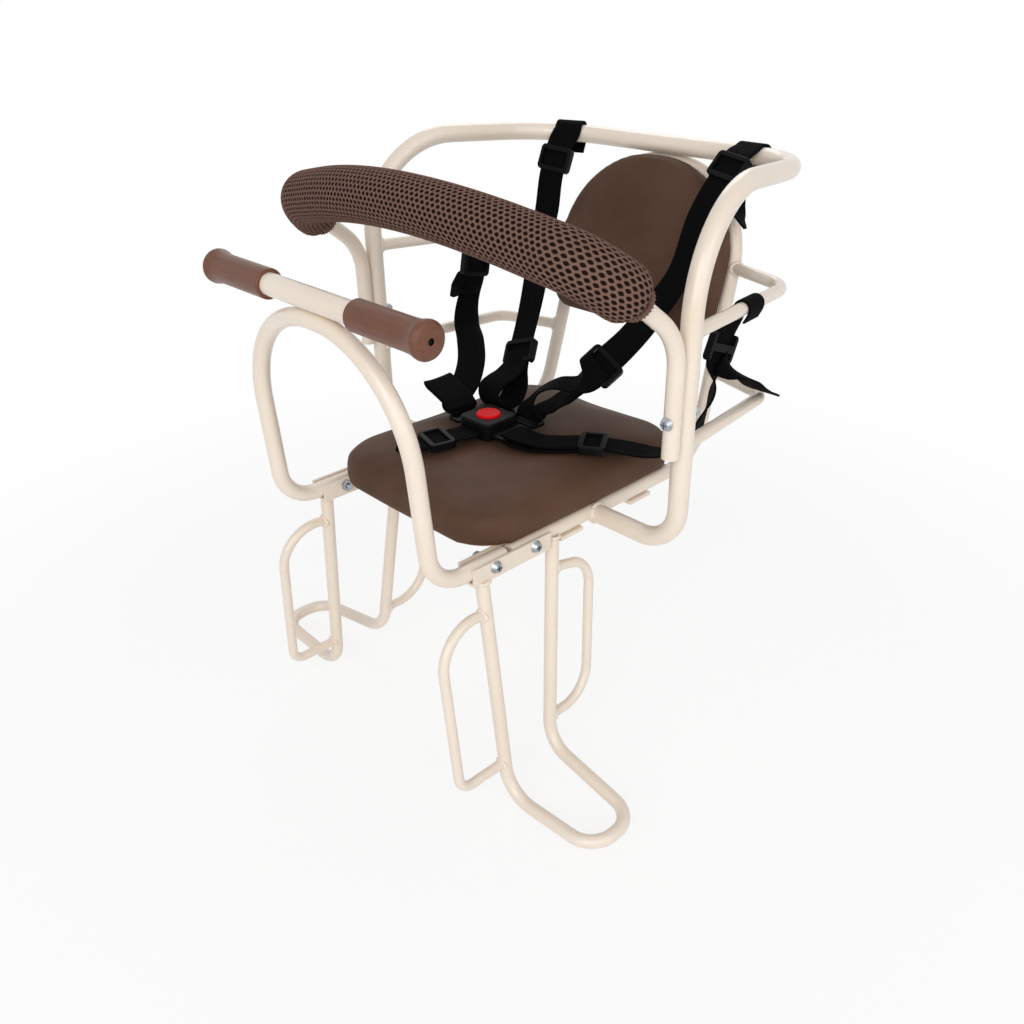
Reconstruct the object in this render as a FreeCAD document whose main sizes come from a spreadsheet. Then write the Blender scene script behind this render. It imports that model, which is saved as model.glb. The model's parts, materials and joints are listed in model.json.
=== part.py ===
"""Rear child seat for a bicycle: bent-tube frame, upholstered pads, padded guard and harness.

Millimetres.  The origin is the middle of the four rack bolt slots on the underside of the
two rack straps.  +Z is up, -Y is the child's forward direction, +X is the child's left.
"""
import FreeCAD
import Part
import Sketcher
import math
import os

Vector = FreeCAD.Vector
SIDES = (("left", 1), ("right", -1))
SAME = 1e-6
TRAIL_POINTS = 2000
LOOP_STEP = 20
HALF_TURN = 0.5

# Driving dimensions: alias, millimetres (degrees for angles), meaning
SIZES = (
    ("frame_tube_d", 15.0, "back frame tube, outside"),
    ("seat_tube_d", 12.0, "seat rails and backrest arch tube, outside"),
    ("arm_tube_d", 10.0, "side arm tube, outside"),
    ("guard_tube_d", 12.6, "front guard tube, outside"),
    ("loop_tube_d", 13.0, "front loop tube, outside"),
    ("handle_tube_d", 16.0, "handle tube, outside"),
    ("leg_tube_d", 10.6, "footrest tube, outside"),
    ("leg_guard_d", 8.0, "leg guard rod"),
    ("tube_wall", 1.2, "wall of the open guard tube ends"),
    ("open_end_depth", 14.0, "visible depth of the open tube ends"),
    ("weld_gap", 0.05, "gap left between tubes that only touch"),
    ("clearance", 0.3, "gap between fitted pieces"),
    ("upright_x", 172.0, "half spacing of the uprights"),
    ("upright_y", -11.0, "uprights, fore and aft"),
    ("frame_top_z", 261.5, "corner where the uprights turn back"),
    ("top_rail_y", 177.0, "top rail behind the backrest"),
    ("top_rail_z", 252.0, "top rail height"),
    ("top_corner_x", 136.5, "half width of the top rail at its corners"),
    ("frame_foot_bend", 32.0, "bend at the foot of the uprights"),
    ("frame_top_bend", 78.0, "bend at the head of the uprights"),
    ("frame_rear_bend", 70.0, "bend at the top rail's corners"),
    ("cross_lift", 0.1, "lower run of the back frame above the rack plane"),
    ("rail_inset", 6.0, "axes of the seat rails, in from the sides of the seat pad"),
    ("rail_front_y", -103.0, "front end of the seat rails"),
    ("rail_rear_y", 119.0, "corner where the rails turn up"),
    ("rail_bend", 45.0, "bend from rail to backrest"),
    ("arch_x", 83.0, "half width of the backrest arch"),
    ("arch_y", 180.3, "head of the backrest arch"),
    ("arch_bend", 80.0, "bend of the backrest arch"),
    ("upper_arm_z", 166.5, "upper side arm at the backrest"),
    ("upper_arm_rise", 4.5, "rise of the upper side arm towards the upright"),
    ("upper_arm_corner_x", 148.0, "corner of the upper side arm"),
    ("upper_arm_corner_y", 141.0, "corner of the upper side arm"),
    ("upper_arm_bend", 28.0, "bend of the upper side arm"),
    ("lower_arm_z", 84.0, "lower side arm height"),
    ("lower_arm_inset", 6.0, "lower side arm inside the upright's axis"),
    ("lower_arm_corner_x", 151.0, "corner of the lower side arm"),
    ("lower_arm_corner_y", 121.0, "corner of the lower side arm"),
    ("lower_arm_bend", 18.0, "bend of the lower side arm"),
    ("guard_end_z", 86.0, "lower ends of the guard"),
    ("guard_knee_z", 172.0, "corner where the guard turns forward"),
    ("guard_reach_x", 163.0, "guard corner, half width"),
    ("guard_reach_y", -90.5, "guard corner, fore and aft"),
    ("guard_reach_z", 224.5, "guard corner height"),
    ("guard_nose_y", -119.0, "middle of the guard, fore and aft"),
    ("guard_nose_z", 257.0, "middle of the guard height"),
    ("guard_knee_bend", 45.0, "bend of the guard arms"),
    ("guard_corner_bend", 50.0, "bend of the guard corners"),
    ("guard_nose_bend", 400.0, "gentle bend across the front"),
    ("guard_bolt_z", 113.0, "guard bolt height"),
    ("guard_pad_d", 39.4, "padded sleeve on the guard"),
    ("guard_pad_lead", 11.5, "straight end of the sleeve, up to the bend of the guard's corner"),
    ("guard_pad_round", 9.5, "rounding of the sleeve's ends"),
    ("loop_end_y", -108.0, "rear ends of the front loop"),
    ("loop_low_y", -175.0, "front loop at its lower corners"),
    ("loop_top_inset", 3.0, "front loop's upper corners, inside the rails"),
    ("loop_top_y", -188.0, "front loop at its top"),
    ("loop_top_z", 182.5, "front loop top, tube axis"),
    ("loop_low_bend", 30.0, "lower bends of the front loop"),
    ("loop_top_room", 3.0, "front loop's upper bends, less than its upper corners' distance from the middle"),
    ("grip_start_x", 49.0, "inner end of each grip"),
    ("grip_end_x", 121.0, "outer end of each grip"),
    ("grip_d", 21.6, "grip body"),
    ("grip_bead_d", 22.8, "bead at the grip's inner end"),
    ("grip_bead_w", 3.0, "width of that bead"),
    ("grip_flange_d", 25.0, "flange at the grip's outer end"),
    ("grip_flange_w", 7.0, "width of that flange"),
    ("grip_cap", 2.5, "thickness of the grip's end"),
    ("grip_hole_d", 4.5, "vent hole in the grip's end"),
    ("channel_front_y", -144.0, "front end of the bracket channels"),
    ("channel_rear_y", -67.0, "rear end of the bracket channels"),
    ("channel_wall", 2.0, "bracket channel sheet"),
    ("channel_side_h", 12.0, "inner height of the bracket channel sides"),
    ("bolt_front_y", -123.0, "bracket bolt through the front loop"),
    ("bolt_rear_y", -83.0, "bracket bolt through the rail"),
    ("bolt_d", 5.0, "M5 bolts"),
    ("bolt_head_d", 10.0, "pan head"),
    ("bolt_head_h", 3.4, "pan head"),
    ("nut_flats", 8.0, "M5 nut across flats"),
    ("nut_h", 4.0, "M5 nut"),
    ("bolt_tip", 2.0, "bolt past its nut"),
    ("leg_front_out", 5.0, "front leg of the footrest, top, out from the rail's axis"),
    ("leg_front_y", -134.0, "front leg of the footrest, top"),
    ("leg_rear_out", 3.0, "rear leg of the footrest, top, out from the rail's axis"),
    ("leg_rear_y", -60.0, "rear leg of the footrest, top"),
    ("foot_front_x", 116.0, "foot of the front leg"),
    ("foot_front_y", -130.0, "foot of the front leg"),
    ("foot_front_z", -191.5, "foot of the front leg"),
    ("foot_rear_x", 111.0, "foot of the rear leg"),
    ("foot_rear_y", -79.0, "foot of the rear leg"),
    ("foot_rear_z", -173.0, "foot of the rear leg"),
    ("step_x", 206.0, "outer end of the step"),
    ("step_front_y", -131.0, "front corner of the step"),
    ("step_rear_y", -85.0, "rear corner of the step"),
    ("step_z", -185.0, "outer end of the step"),
    ("foot_bend", 26.0, "bends at the feet of the legs"),
    ("step_bend", 21.0, "bends at the outer end of the step"),
    ("front_guard_top_z", -27.5, "front leg guard, upper weld"),
    ("front_guard_low_z", -160.0, "front leg guard, lower weld"),
    ("front_guard_reach", 46.0, "front leg guard ahead of the leg"),
    ("front_guard_rise", 13.5, "upper corner above its weld"),
    ("front_guard_top_bend", 32.0, "upper bend"),
    ("front_guard_low_bend", 12.0, "lower bend"),
    ("rear_guard_top_z", -19.5, "rear leg guard, upper weld"),
    ("rear_guard_low_z", -149.5, "rear leg guard, lower weld"),
    ("rear_guard_reach", 43.0, "rear leg guard behind the leg"),
    ("rear_guard_drop", 10.0, "upper corner below its weld"),
    ("rear_guard_top_bend", 24.0, "upper bend"),
    ("rear_guard_low_bend", 30.0, "lower bend"),
    ("rack_strap_y", 41.0, "half spacing of the rack straps"),
    ("rack_strap_w", 25.0, "rack strap width"),
    ("rack_strap_t", 3.0, "rack strap thickness"),
    ("rack_strap_over", 6.0, "rack strap past the rail's axis"),
    ("rack_slot_x", 45.0, "half spacing of the rack slots"),
    ("rack_slot_l", 30.0, "rack slot length"),
    ("rack_slot_w", 6.6, "rack slot width, for M6"),
    ("tab_w", 22.0, "seat tab along the rail"),
    ("tab_l", 26.0, "seat tab from the rail's axis"),
    ("tab_t", 2.5, "seat tab sheet"),
    ("tab_front_y", -48.0, "front seat tabs"),
    ("tab_rear_y", 72.0, "rear seat tabs"),
    ("tab_screw_in", 16.0, "seat screw from the rail's axis"),
    ("back_screw_in", 10.0, "backrest screw from the tab's inner end"),
    ("seat_board_t", 6.0, "seat board"),
    ("seat_pad_half_w", 97.0, "half width of the seat pad"),
    ("seat_pad_front_y", -133.0, "front edge of the seat pad"),
    ("seat_pad_rear_y", 106.0, "rear edge of the seat pad"),
    ("seat_pad_t", 29.0, "seat pad thickness"),
    ("seat_pad_corner", 44.0, "plan corners of the seat pad"),
    ("seat_pad_round", 12.0, "upper edge of the seat pad"),
    ("pad_lip", 6.0, "pad past its board all round"),
    ("loop_headroom", 0.8, "pad's lower edge above the rails"),
    ("back_board_t", 6.0, "backrest board"),
    ("back_pad_half_w", 94.0, "half width of the backrest pad"),
    ("back_pad_foot_half_w", 84.0, "half width of the backrest pad's foot"),
    ("back_pad_low", 98.5, "foot of the backrest pad, along the backrest"),
    ("back_pad_high", 240.0, "head of the backrest pad, along the backrest"),
    ("back_pad_t", 25.0, "backrest pad thickness"),
    ("back_pad_corner", 84.0, "arched head of the backrest pad"),
    ("back_pad_foot_corner", 20.0, "lower corners of the backrest pad"),
    ("back_pad_round", 10.0, "front edge of the backrest pad"),
    ("back_screw_low", 122.0, "lower backrest tabs, along the backrest"),
    ("back_screw_high", 158.0, "upper backrest tabs, along the backrest"),
    ("wood_screw_d", 4.0, "screws into the boards"),
    ("wood_screw_head_d", 8.0, "their heads"),
    ("wood_screw_head_h", 2.6, "their heads"),
    ("wood_screw_bite", 4.5, "their length in the boards"),
    ("head_face", 0.64, "flat face of a pan head, as a share of its width"),
    ("recess_span", 0.5, "cross recess, as a share of the head's width"),
    ("recess_width", 0.13, "slot of that cross, as a share of the head's width"),
    ("recess_depth", 0.55, "depth of that cross, as a share of the head's height"),
    ("webbing_w", 25.0, "harness webbing width"),
    ("webbing_t", 1.6, "harness webbing thickness"),
    ("slider_l", 22.0, "slider along the strap"),
    ("slider_rail", 3.2, "slider's side rails"),
    ("slider_bar", 4.0, "slider's end bars"),
    ("slider_middle", 6.0, "slider's middle bar"),
    ("slider_t", 6.0, "slider thickness"),
    ("slider_corner", 4.0, "plan corners of the sliders"),
    ("slider_edge", 0.8, "rounded rims of the sliders"),
    ("buckle_x", -16.0, "middle of the buckle"),
    ("buckle_y", -22.0, "middle of the buckle"),
    ("buckle_w", 36.0, "buckle width"),
    ("buckle_l", 36.0, "buckle length"),
    ("buckle_lift", 2.5, "buckle above the seat pad's plane"),
    ("buckle_base_h", 7.2, "buckle base"),
    ("buckle_cover_h", 6.8, "buckle cover"),
    ("buckle_corner", 6.0, "plan corners of the buckle"),
    ("buckle_round", 1.8, "upper edge of the buckle"),
    ("tongue_w", 15.0, "tongue blade width"),
    ("tongue_t", 2.5, "tongue thickness"),
    ("tongue_deep", 9.0, "tongue inside the buckle"),
    ("tongue_head_w", 32.0, "tongue head width"),
    ("tongue_head_l", 16.0, "tongue head length"),
    ("tongue_slot", 4.5, "slot in the tongue head"),
    ("tongue_bar", 7.4, "front edge of that slot, from the buckle"),
    ("tongue_corner", 4.0, "plan corners of the tongue heads"),
    ("shoulder_blade_x", 8.3, "half spacing of the shoulder blades"),
    ("shoulder_head_x", 17.5, "half spacing of the shoulder tongue heads"),
    ("button_d", 20.4, "release button"),
    ("button_flange_d", 23.4, "flange that keeps the button in"),
    ("button_flange_t", 1.2, "thickness of that flange"),
    ("button_proud", 1.8, "button above the cover"),
    ("button_edge", 0.9, "bevel round the button's face"),
    ("button_travel", 3.0, "button travel"),
    ("cover_lip", 2.0, "cover above the button's flange"),
    ("spring_d", 11.0, "button spring, outside"),
    ("spring_wire", 0.9, "button spring wire"),
    ("spring_pitch", 2.2, "button spring pitch"),
    ("spring_well", 2.5, "floor under the spring"),
    ("left_anchor_x", 83.0, "left shoulder strap on the top rail"),
    ("right_anchor_x", -110.0, "right shoulder strap on the top rail"),
    ("wrap_slack", 0.5, "extra room of the left shoulder strap on the rail"),
    ("bend_slack", 1.4, "extra room of the right shoulder strap on the rail's bend"),
    ("loop_tail_down", 1.5, "free end of a strap's loop below the tube, as a share of the loop's radius"),
    ("loop_tail_back", 0.75, "free end of a strap's loop behind the tube, as a share of the loop's radius"),
    ("left_waist_y", 78.0, "left waist strap on the upper side arm"),
    ("right_waist_y", 92.0, "right waist strap on the upper side arm"),
    ("crotch_deep", 6.0, "crotch strap inside the buckle"),
    ("crotch_anchor_l", 42.0, "anchor plate under the seat board"),
    ("crotch_anchor_w", 14.0, "anchor plate under the seat board"),
    ("crotch_anchor_t", 2.5, "anchor plate under the seat board"),
    ("crotch_tail", 4.0, "crotch strap below its anchor plate"),
    ("crotch_slit_x", -31.0, "crotch strap slit in the seat"),
    ("crotch_slit_y", -98.0, "crotch strap slit in the seat"),
    ("slit_w", 4.0, "width of that slit"),
    ("slit_l", 28.0, "length of that slit"),
)

doc = FreeCAD.newDocument("ChildBikeSeat")
sheet = doc.addObject("Spreadsheet::Sheet", "Sizes")
for row, (alias, number, meaning) in enumerate(SIZES, start=1):
    sheet.set(f"A{row}", meaning)
    sheet.set(f"B{row}", str(number))
    sheet.setAlias(f"B{row}", alias)
doc.recompute()


class Size:
    """A length with its number and its spreadsheet formula, so that features can be bound to it."""

    def __init__(self, number, formula):
        self.number = number
        self.formula = formula

    def __float__(self):
        return self.number

    def joined(self, sign, other, number):
        return Size(number, f"({self.formula} {sign} {formula_of(other)})")

    def __add__(self, other):
        return self.joined("+", other, self.number + float(other))

    def __sub__(self, other):
        return self.joined("-", other, self.number - float(other))

    def __mul__(self, other):
        return self.joined("*", other, self.number * float(other))

    def __truediv__(self, other):
        return self.joined("/", other, self.number / float(other))

    def __neg__(self):
        return Size(-self.number, f"(0 - {self.formula})")


def formula_of(length):
    return length.formula if isinstance(length, Size) else repr(float(length))


class Sheet:
    """Reads the driving dimensions by alias."""

    def __getattr__(self, alias):
        return Size(float(sheet.get(alias)), f"Sizes.{alias}")


dim = Sheet()
NIL = Size(0.0, "0.0")
nodes = []


def keep(feature, label):
    """Name a finished sub-part; its label is also its file name."""
    feature.Label = label
    nodes.append(feature)
    return feature


def bind(feature, name, length):
    """Tie a feature's property to the spreadsheet."""
    feature.setExpression(name, formula_of(length))


def point(x, y, z):
    return Vector(float(x), float(y), float(z))


def bent_wire(points, radii):
    """Straight runs through the points, joined by tangent arcs."""
    edges = []
    start = points[0]
    for before, corner, after, radius in zip(points, points[1:], points[2:], radii):
        to_before = (before - corner).normalize()
        to_after = (after - corner).normalize()
        half_angle = to_before.getAngle(to_after) / 2
        run = float(radius) / math.tan(half_angle)
        inward = (to_before + to_after).normalize()
        crown = corner + inward * (float(radius) / math.sin(half_angle) - float(radius))
        arc_start = corner + to_before * run
        arc_end = corner + to_after * run
        edges.append(Part.LineSegment(start, arc_start).toShape())
        edges.append(Part.Arc(arc_start, crown, arc_end).toShape())
        start = arc_end
    edges.append(Part.LineSegment(start, points[-1]).toShape())
    return Part.Wire(edges)


def tube(name, points, radii, diameter):
    """Round bar swept along a bent path."""
    path = doc.addObject("Part::Feature", name + "_path")
    path.Shape = bent_wire(points, radii)
    section = doc.addObject("Part::Circle", name + "_section")
    bind(section, "Radius", diameter / 2)
    along = (points[1] - points[0]).normalize()
    section.Placement = FreeCAD.Placement(points[0], FreeCAD.Rotation(Vector(0, 0, 1), along))
    sweep = doc.addObject("Part::Sweep", name + "_bar")
    sweep.Sections = [section]
    sweep.Spine = (path, [f"Edge{i + 1}" for i in range(len(path.Shape.Edges))])
    sweep.Solid = True
    return sweep


def cut(base, *tools):
    """Take each tool away from the base."""
    for tool in tools:
        trimmed = doc.addObject("Part::Cut", base.Name + "_cut")
        trimmed.Base = base
        trimmed.Tool = tool
        base = trimmed
    return base


def fuse(name, *shapes):
    joined = doc.addObject("Part::MultiFuse", name)
    joined.Shapes = list(shapes)
    return joined


def group(name, shapes):
    """Separate solids that share one node."""
    compound = doc.addObject("Part::Compound", name)
    compound.Links = list(shapes)
    return compound


def rod(name, diameter, length, start, along):
    """Round pin from a point along a direction."""
    pin = doc.addObject("Part::Cylinder", name)
    bind(pin, "Radius", diameter / 2)
    bind(pin, "Height", length)
    pin.Placement = FreeCAD.Placement(start, FreeCAD.Rotation(Vector(0, 0, 1), along))
    return pin


def box(name, x, y, z):
    """Block between pairs of limits on the three axes."""
    block = doc.addObject("Part::Box", name)
    for axis, side, limits in (("x", "Length", x), ("y", "Width", y), ("z", "Height", z)):
        bind(block, side, limits[1] - limits[0])
        bind(block, f"Placement.Base.{axis}", limits[0])
    return block


def span(middle, half):
    return (middle - half, middle + half)


def placed(feature, position, rotation):
    feature.Placement = FreeCAD.Placement(position, rotation)
    return feature


def origin_plane(body, role):
    return next(item for item in body.Origin.OriginFeatures if item.Role == role)


def outline(body, name, role, corners):
    """Closed sketch whose corners are dimensioned from the origin."""
    sketch = body.newObject("Sketcher::SketchObject", name)
    sketch.AttachmentSupport = (origin_plane(body, role), [""])
    sketch.MapMode = "FlatFace"
    flat = [Vector(float(u), float(v), 0) for u, v in corners]
    for start, end in zip(flat, flat[1:] + flat[:1]):
        sketch.addGeometry(Part.LineSegment(start, end), False)
    for i in range(len(flat)):
        sketch.addConstraint(Sketcher.Constraint("Coincident", i, 2, (i + 1) % len(flat), 1))
    for i, corner in enumerate(corners):
        for kind, length in zip(("DistanceX", "DistanceY"), corner):
            ends = (-1, 1, i, 1) if float(length) >= 0 else (i, 1, -1, 1)
            formula = formula_of(length if float(length) >= 0 else -length)
            index = sketch.addConstraint(Sketcher.Constraint(kind, *ends, abs(float(length))))
            sketch.setExpression(f"Constraints[{index}]", formula)
    return sketch


def plate(label, corners, thickness):
    """Body with one outline on XY, raised by a thickness."""
    body = doc.addObject("PartDesign::Body", label + "_body")
    pad = body.newObject("PartDesign::Pad", label + "_pad")
    pad.Profile = outline(body, label + "_outline", "XY_Plane", corners)
    bind(pad, "Length", thickness)
    doc.recompute()
    return body


def rounded(body, name, radius, wanted):
    """Fillet the edges of the body's last feature that a test picks out."""
    base = body.Tip
    picked = [f"Edge{i + 1}" for i, edge in enumerate(base.Shape.Edges) if wanted(edge)]
    fillet = body.newObject("PartDesign::Fillet", name)
    fillet.Base = (base, picked)
    bind(fillet, "Radius", radius)
    doc.recompute()
    return fillet


def upright_edge(edge):
    ends = [vertex.Point for vertex in edge.Vertexes]
    return len(ends) == 2 and abs(ends[0].x - ends[1].x) + abs(ends[0].y - ends[1].y) < SAME


def rim_edge(height):
    """Test for edges that lie at one height."""
    def at_height(edge):
        return abs(edge.BoundBox.ZMin - height) + abs(edge.BoundBox.ZMax - height) < SAME
    return at_height


def rectangle(half_width, low, high):
    return ((-half_width, low), (half_width, low), (half_width, high), (-half_width, high))


def mirrored(points, hand):
    return [Vector(p.x * hand, p.y, p.z) for p in points]


def both_sides(points):
    """A half path and its mirror image, end to end."""
    return points + mirrored(points, -1)[::-1]


def between(start, end, share):
    return start + (end - start) * share


# Places that follow from the pieces resting on each other
rail_z = dim.rack_strap_t + dim.seat_tube_d / 2
rail_top = rail_z + dim.seat_tube_d / 2
rail_x = dim.seat_pad_half_w - dim.rail_inset
cross_z = dim.frame_tube_d / 2 + dim.cross_lift
touch = dim.frame_tube_d / 2 + dim.seat_tube_d / 2 + dim.weld_gap
arch_drop = math.sqrt(float(touch) ** 2 - float(dim.arch_y - dim.top_rail_y) ** 2)
arch_z = dim.top_rail_z - arch_drop
guard_y = dim.upright_y - dim.frame_tube_d / 2 - dim.guard_tube_d / 2 - dim.weld_gap
handle_z = dim.loop_top_z + dim.loop_tube_d / 2 + dim.handle_tube_d / 2 + dim.weld_gap
channel_floor = rail_z - dim.loop_tube_d / 2 - dim.weld_gap
channel_bottom = channel_floor - dim.channel_wall
channel_half = dim.loop_tube_d / 2 + dim.weld_gap + dim.channel_wall
pad_bottom = rail_top + dim.loop_headroom
pad_top = pad_bottom + dim.seat_pad_t
hole_d = dim.bolt_d + dim.clearance

# Seat rails and backrest arch, one bent tube
rail_front = point(rail_x, dim.rail_front_y, rail_z)
rail_rear = point(rail_x, dim.rail_rear_y, rail_z)
arch_head = point(dim.arch_x, dim.arch_y, arch_z)
seat_bends = (dim.rail_bend, dim.arch_bend, dim.arch_bend, dim.rail_bend)
seat_bar = tube("seat_frame", both_sides([rail_front, rail_rear, arch_head]), seat_bends, dim.seat_tube_d)

# The backrest leans with the arch: v runs up it, w stands out of its front
lean = math.degrees(math.atan2(arch_head.y - rail_rear.y, arch_head.z - rail_rear.z))
lean_turn = FreeCAD.Rotation(Vector(1, 0, 0), 90 - lean)
lean_foot = point(0, dim.rail_rear_y, rail_z)
lean_up = lean_turn.multVec(Vector(0, 1, 0))
lean_out = lean_turn.multVec(Vector(0, 0, 1))


def on_backrest(x, v, w):
    return lean_foot + Vector(float(x), 0, 0) + lean_up * float(v) + lean_out * float(w)


def arch_x_at(v):
    """Half spacing of the arch tube at a height up the backrest."""
    height = (arch_head - rail_rear).dot(lean_up)
    straight = between(rail_rear, arch_head, float(v) / height).x
    rise = float(v) - (height - float(dim.arch_bend))
    if rise <= 0:
        return straight
    centre = float(dim.arch_x) - float(dim.arch_bend)
    return centre + math.sqrt(float(dim.arch_bend) ** 2 - rise ** 2)


# Back frame: rail side, upright, back to the top rail and down the other side
frame_start = point(rail_x + dim.seat_tube_d / 3, dim.upright_y, cross_z)
frame_foot = point(dim.upright_x, dim.upright_y, cross_z)
frame_head = point(dim.upright_x, dim.upright_y, dim.frame_top_z)
frame_rear = point(dim.top_corner_x, dim.top_rail_y, dim.top_rail_z)
frame_half = [frame_start, frame_foot, frame_head, frame_rear]
half_bends = (dim.frame_foot_bend, dim.frame_top_bend, dim.frame_rear_bend)
frame_bar = tube("back_frame", both_sides(frame_half), half_bends + half_bends[::-1], dim.frame_tube_d)

guard_holes = []
guard_bolts = []
guard_nuts = []
guard_head_y = guard_y - dim.guard_tube_d / 2
guard_nut_y = dim.upright_y + dim.frame_tube_d / 2
backward = Vector(0, 1, 0)


def pan_bolt(name, seat, along, grip, diameter, head_d, head_h):
    """Pan-head screw with a cross recess: its head stands before the seat, its shank runs along."""
    head = doc.addObject("Part::Cone", name + "_head")
    bind(head, "Radius1", head_d * dim.head_face / 2)
    bind(head, "Radius2", head_d / 2)
    bind(head, "Height", head_h)
    turn = FreeCAD.Rotation(Vector(0, 0, 1), along)
    top = seat - along * float(head_h)
    head.Placement = FreeCAD.Placement(top, turn)
    shank = rod(name + "_shank", diameter, grip, seat, along)
    recesses = []
    for quarter in (0, 90):
        recess = doc.addObject("Part::Box", f"{name}_recess_{quarter}")
        bind(recess, "Length", head_d * dim.recess_span)
        bind(recess, "Width", head_d * dim.recess_width)
        bind(recess, "Height", head_h * dim.recess_depth)
        spin = turn.multiply(FreeCAD.Rotation(Vector(0, 0, 1), quarter))
        corner = spin.multVec(point(-head_d * dim.recess_span / 2, -head_d * dim.recess_width / 2, 0))
        recess.Placement = FreeCAD.Placement(top + corner, spin)
        recesses.append(recess)
    return cut(fuse(name, head, shank), *recesses)


def hex_nut(name, seat, along):
    """Nut that bears on the seat."""
    prism = doc.addObject("Part::Prism", name + "_hex")
    prism.Polygon = 6
    bind(prism, "Circumradius", dim.nut_flats / math.sqrt(3))
    bind(prism, "Height", dim.nut_h)
    prism.Placement = FreeCAD.Placement(seat, FreeCAD.Rotation(Vector(0, 0, 1), along))
    bore = rod(name + "_bore", hole_d, dim.nut_h, seat, along)
    return cut(prism, bore)


for side, hand in SIDES:
    x = dim.upright_x * hand
    seat = point(x, guard_head_y, dim.guard_bolt_z)
    reach = guard_nut_y - guard_head_y + dim.nut_h + dim.bolt_tip
    guard_holes.append(rod("guard_hole_" + side, hole_d, guard_nut_y - guard_head_y, seat, backward))
    guard_bolts.append(
        pan_bolt("guard_bolt_" + side, seat, backward, reach, dim.bolt_d, dim.bolt_head_d, dim.bolt_head_h))
    guard_nuts.append(hex_nut("guard_nut_" + side, point(x, guard_nut_y, dim.guard_bolt_z), backward))
keep(cut(frame_bar, seat_bar, *guard_holes), "back_frame")

# Bolts across the bracket channels, heads outside and nuts inside
bracket_holes = []
bracket_bolts = []
bracket_nuts = []
for side, hand in SIDES:
    inward = Vector(-hand, 0, 0)
    for place, y in (("front", dim.bolt_front_y), ("rear", dim.bolt_rear_y)):
        name = f"{place}_{side}"
        seat = point((rail_x + channel_half) * hand, y, rail_z)
        nut_seat = point((rail_x - channel_half) * hand, y, rail_z)
        reach = channel_half * 2 + dim.nut_h + dim.bolt_tip
        bracket_holes.append(rod("bracket_hole_" + name, hole_d, channel_half * 2, seat, inward))
        bracket_bolts.append(pan_bolt(
            "bracket_bolt_" + name, seat, inward, reach, dim.bolt_d, dim.bolt_head_d, dim.bolt_head_h))
        bracket_nuts.append(hex_nut("bracket_nut_" + name, nut_seat, inward))

# Tabs inside the arch carry the backrest board, screwed from behind
back_tabs = []
back_screws = []
back_board_holes = []
screw_bore = dim.wood_screw_d + dim.clearance
tab_back = dim.seat_tube_d / 2 - dim.tab_t
for side, hand in SIDES:
    for place, v in (("low", dim.back_screw_low), ("high", dim.back_screw_high)):
        name = f"back_tab_{place}_{side}"
        outer = arch_x_at(v) - float(dim.seat_tube_d) / 4
        inner = outer - float(dim.tab_l)
        corner = on_backrest(inner if hand > 0 else -outer, v - dim.tab_w / 2, tab_back)
        sheet_tab = doc.addObject("Part::Box", name + "_sheet")
        bind(sheet_tab, "Length", dim.tab_l)
        bind(sheet_tab, "Width", dim.tab_w)
        bind(sheet_tab, "Height", dim.tab_t)
        sheet_tab.Placement = FreeCAD.Placement(corner, lean_turn)
        spot = on_backrest((inner + float(dim.back_screw_in)) * hand, v, tab_back)
        hole = rod(name + "_hole", screw_bore, dim.tab_t + dim.back_board_t, spot, lean_out)
        back_tabs.append(cut(sheet_tab, seat_bar, hole))
        back_board_holes.append(hole)
        reach = dim.tab_t + dim.wood_screw_bite
        back_screws.append(pan_bolt(
            f"back_screw_{place}_{side}", spot, lean_out, reach,
            dim.wood_screw_d, dim.wood_screw_head_d, dim.wood_screw_head_h))
keep(cut(seat_bar, *bracket_holes), "seat_frame")
keep(group("back_tab_set", back_tabs), "backrest_tabs")
keep(group("back_screw_set", back_screws), "backrest_screws")
keep(group("guard_bolt_set", guard_bolts), "guard_bolts")
keep(group("guard_nut_set", guard_nuts), "guard_nuts")
keep(group("bracket_bolt_set", bracket_bolts), "bracket_bolts")
keep(group("bracket_nut_set", bracket_nuts), "bracket_nuts")

# Side arms between each upright and the backrest
arch_rise = arch_head.z - rail_rear.z
for side, hand in SIDES:
    for level, z, rise, inset, corner, bend in (
        ("upper", dim.upper_arm_z, dim.upper_arm_rise, dim.weld_gap,
         (dim.upper_arm_corner_x, dim.upper_arm_corner_y), dim.upper_arm_bend),
        ("lower", dim.lower_arm_z, dim.weld_gap, dim.lower_arm_inset,
         (dim.lower_arm_corner_x, dim.lower_arm_corner_y), dim.lower_arm_bend),
    ):
        leg = between(rail_rear, arch_head, float(z - rail_z) / arch_rise)
        route = [point(dim.upright_x - inset, dim.upright_y, z + rise), point(*corner, z), leg]
        arm = tube(f"{level}_arm_{side}", mirrored(route, hand), (bend,), dim.arm_tube_d)
        keep(cut(arm, frame_bar, seat_bar), f"{level}_side_arm_{side}")

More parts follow.
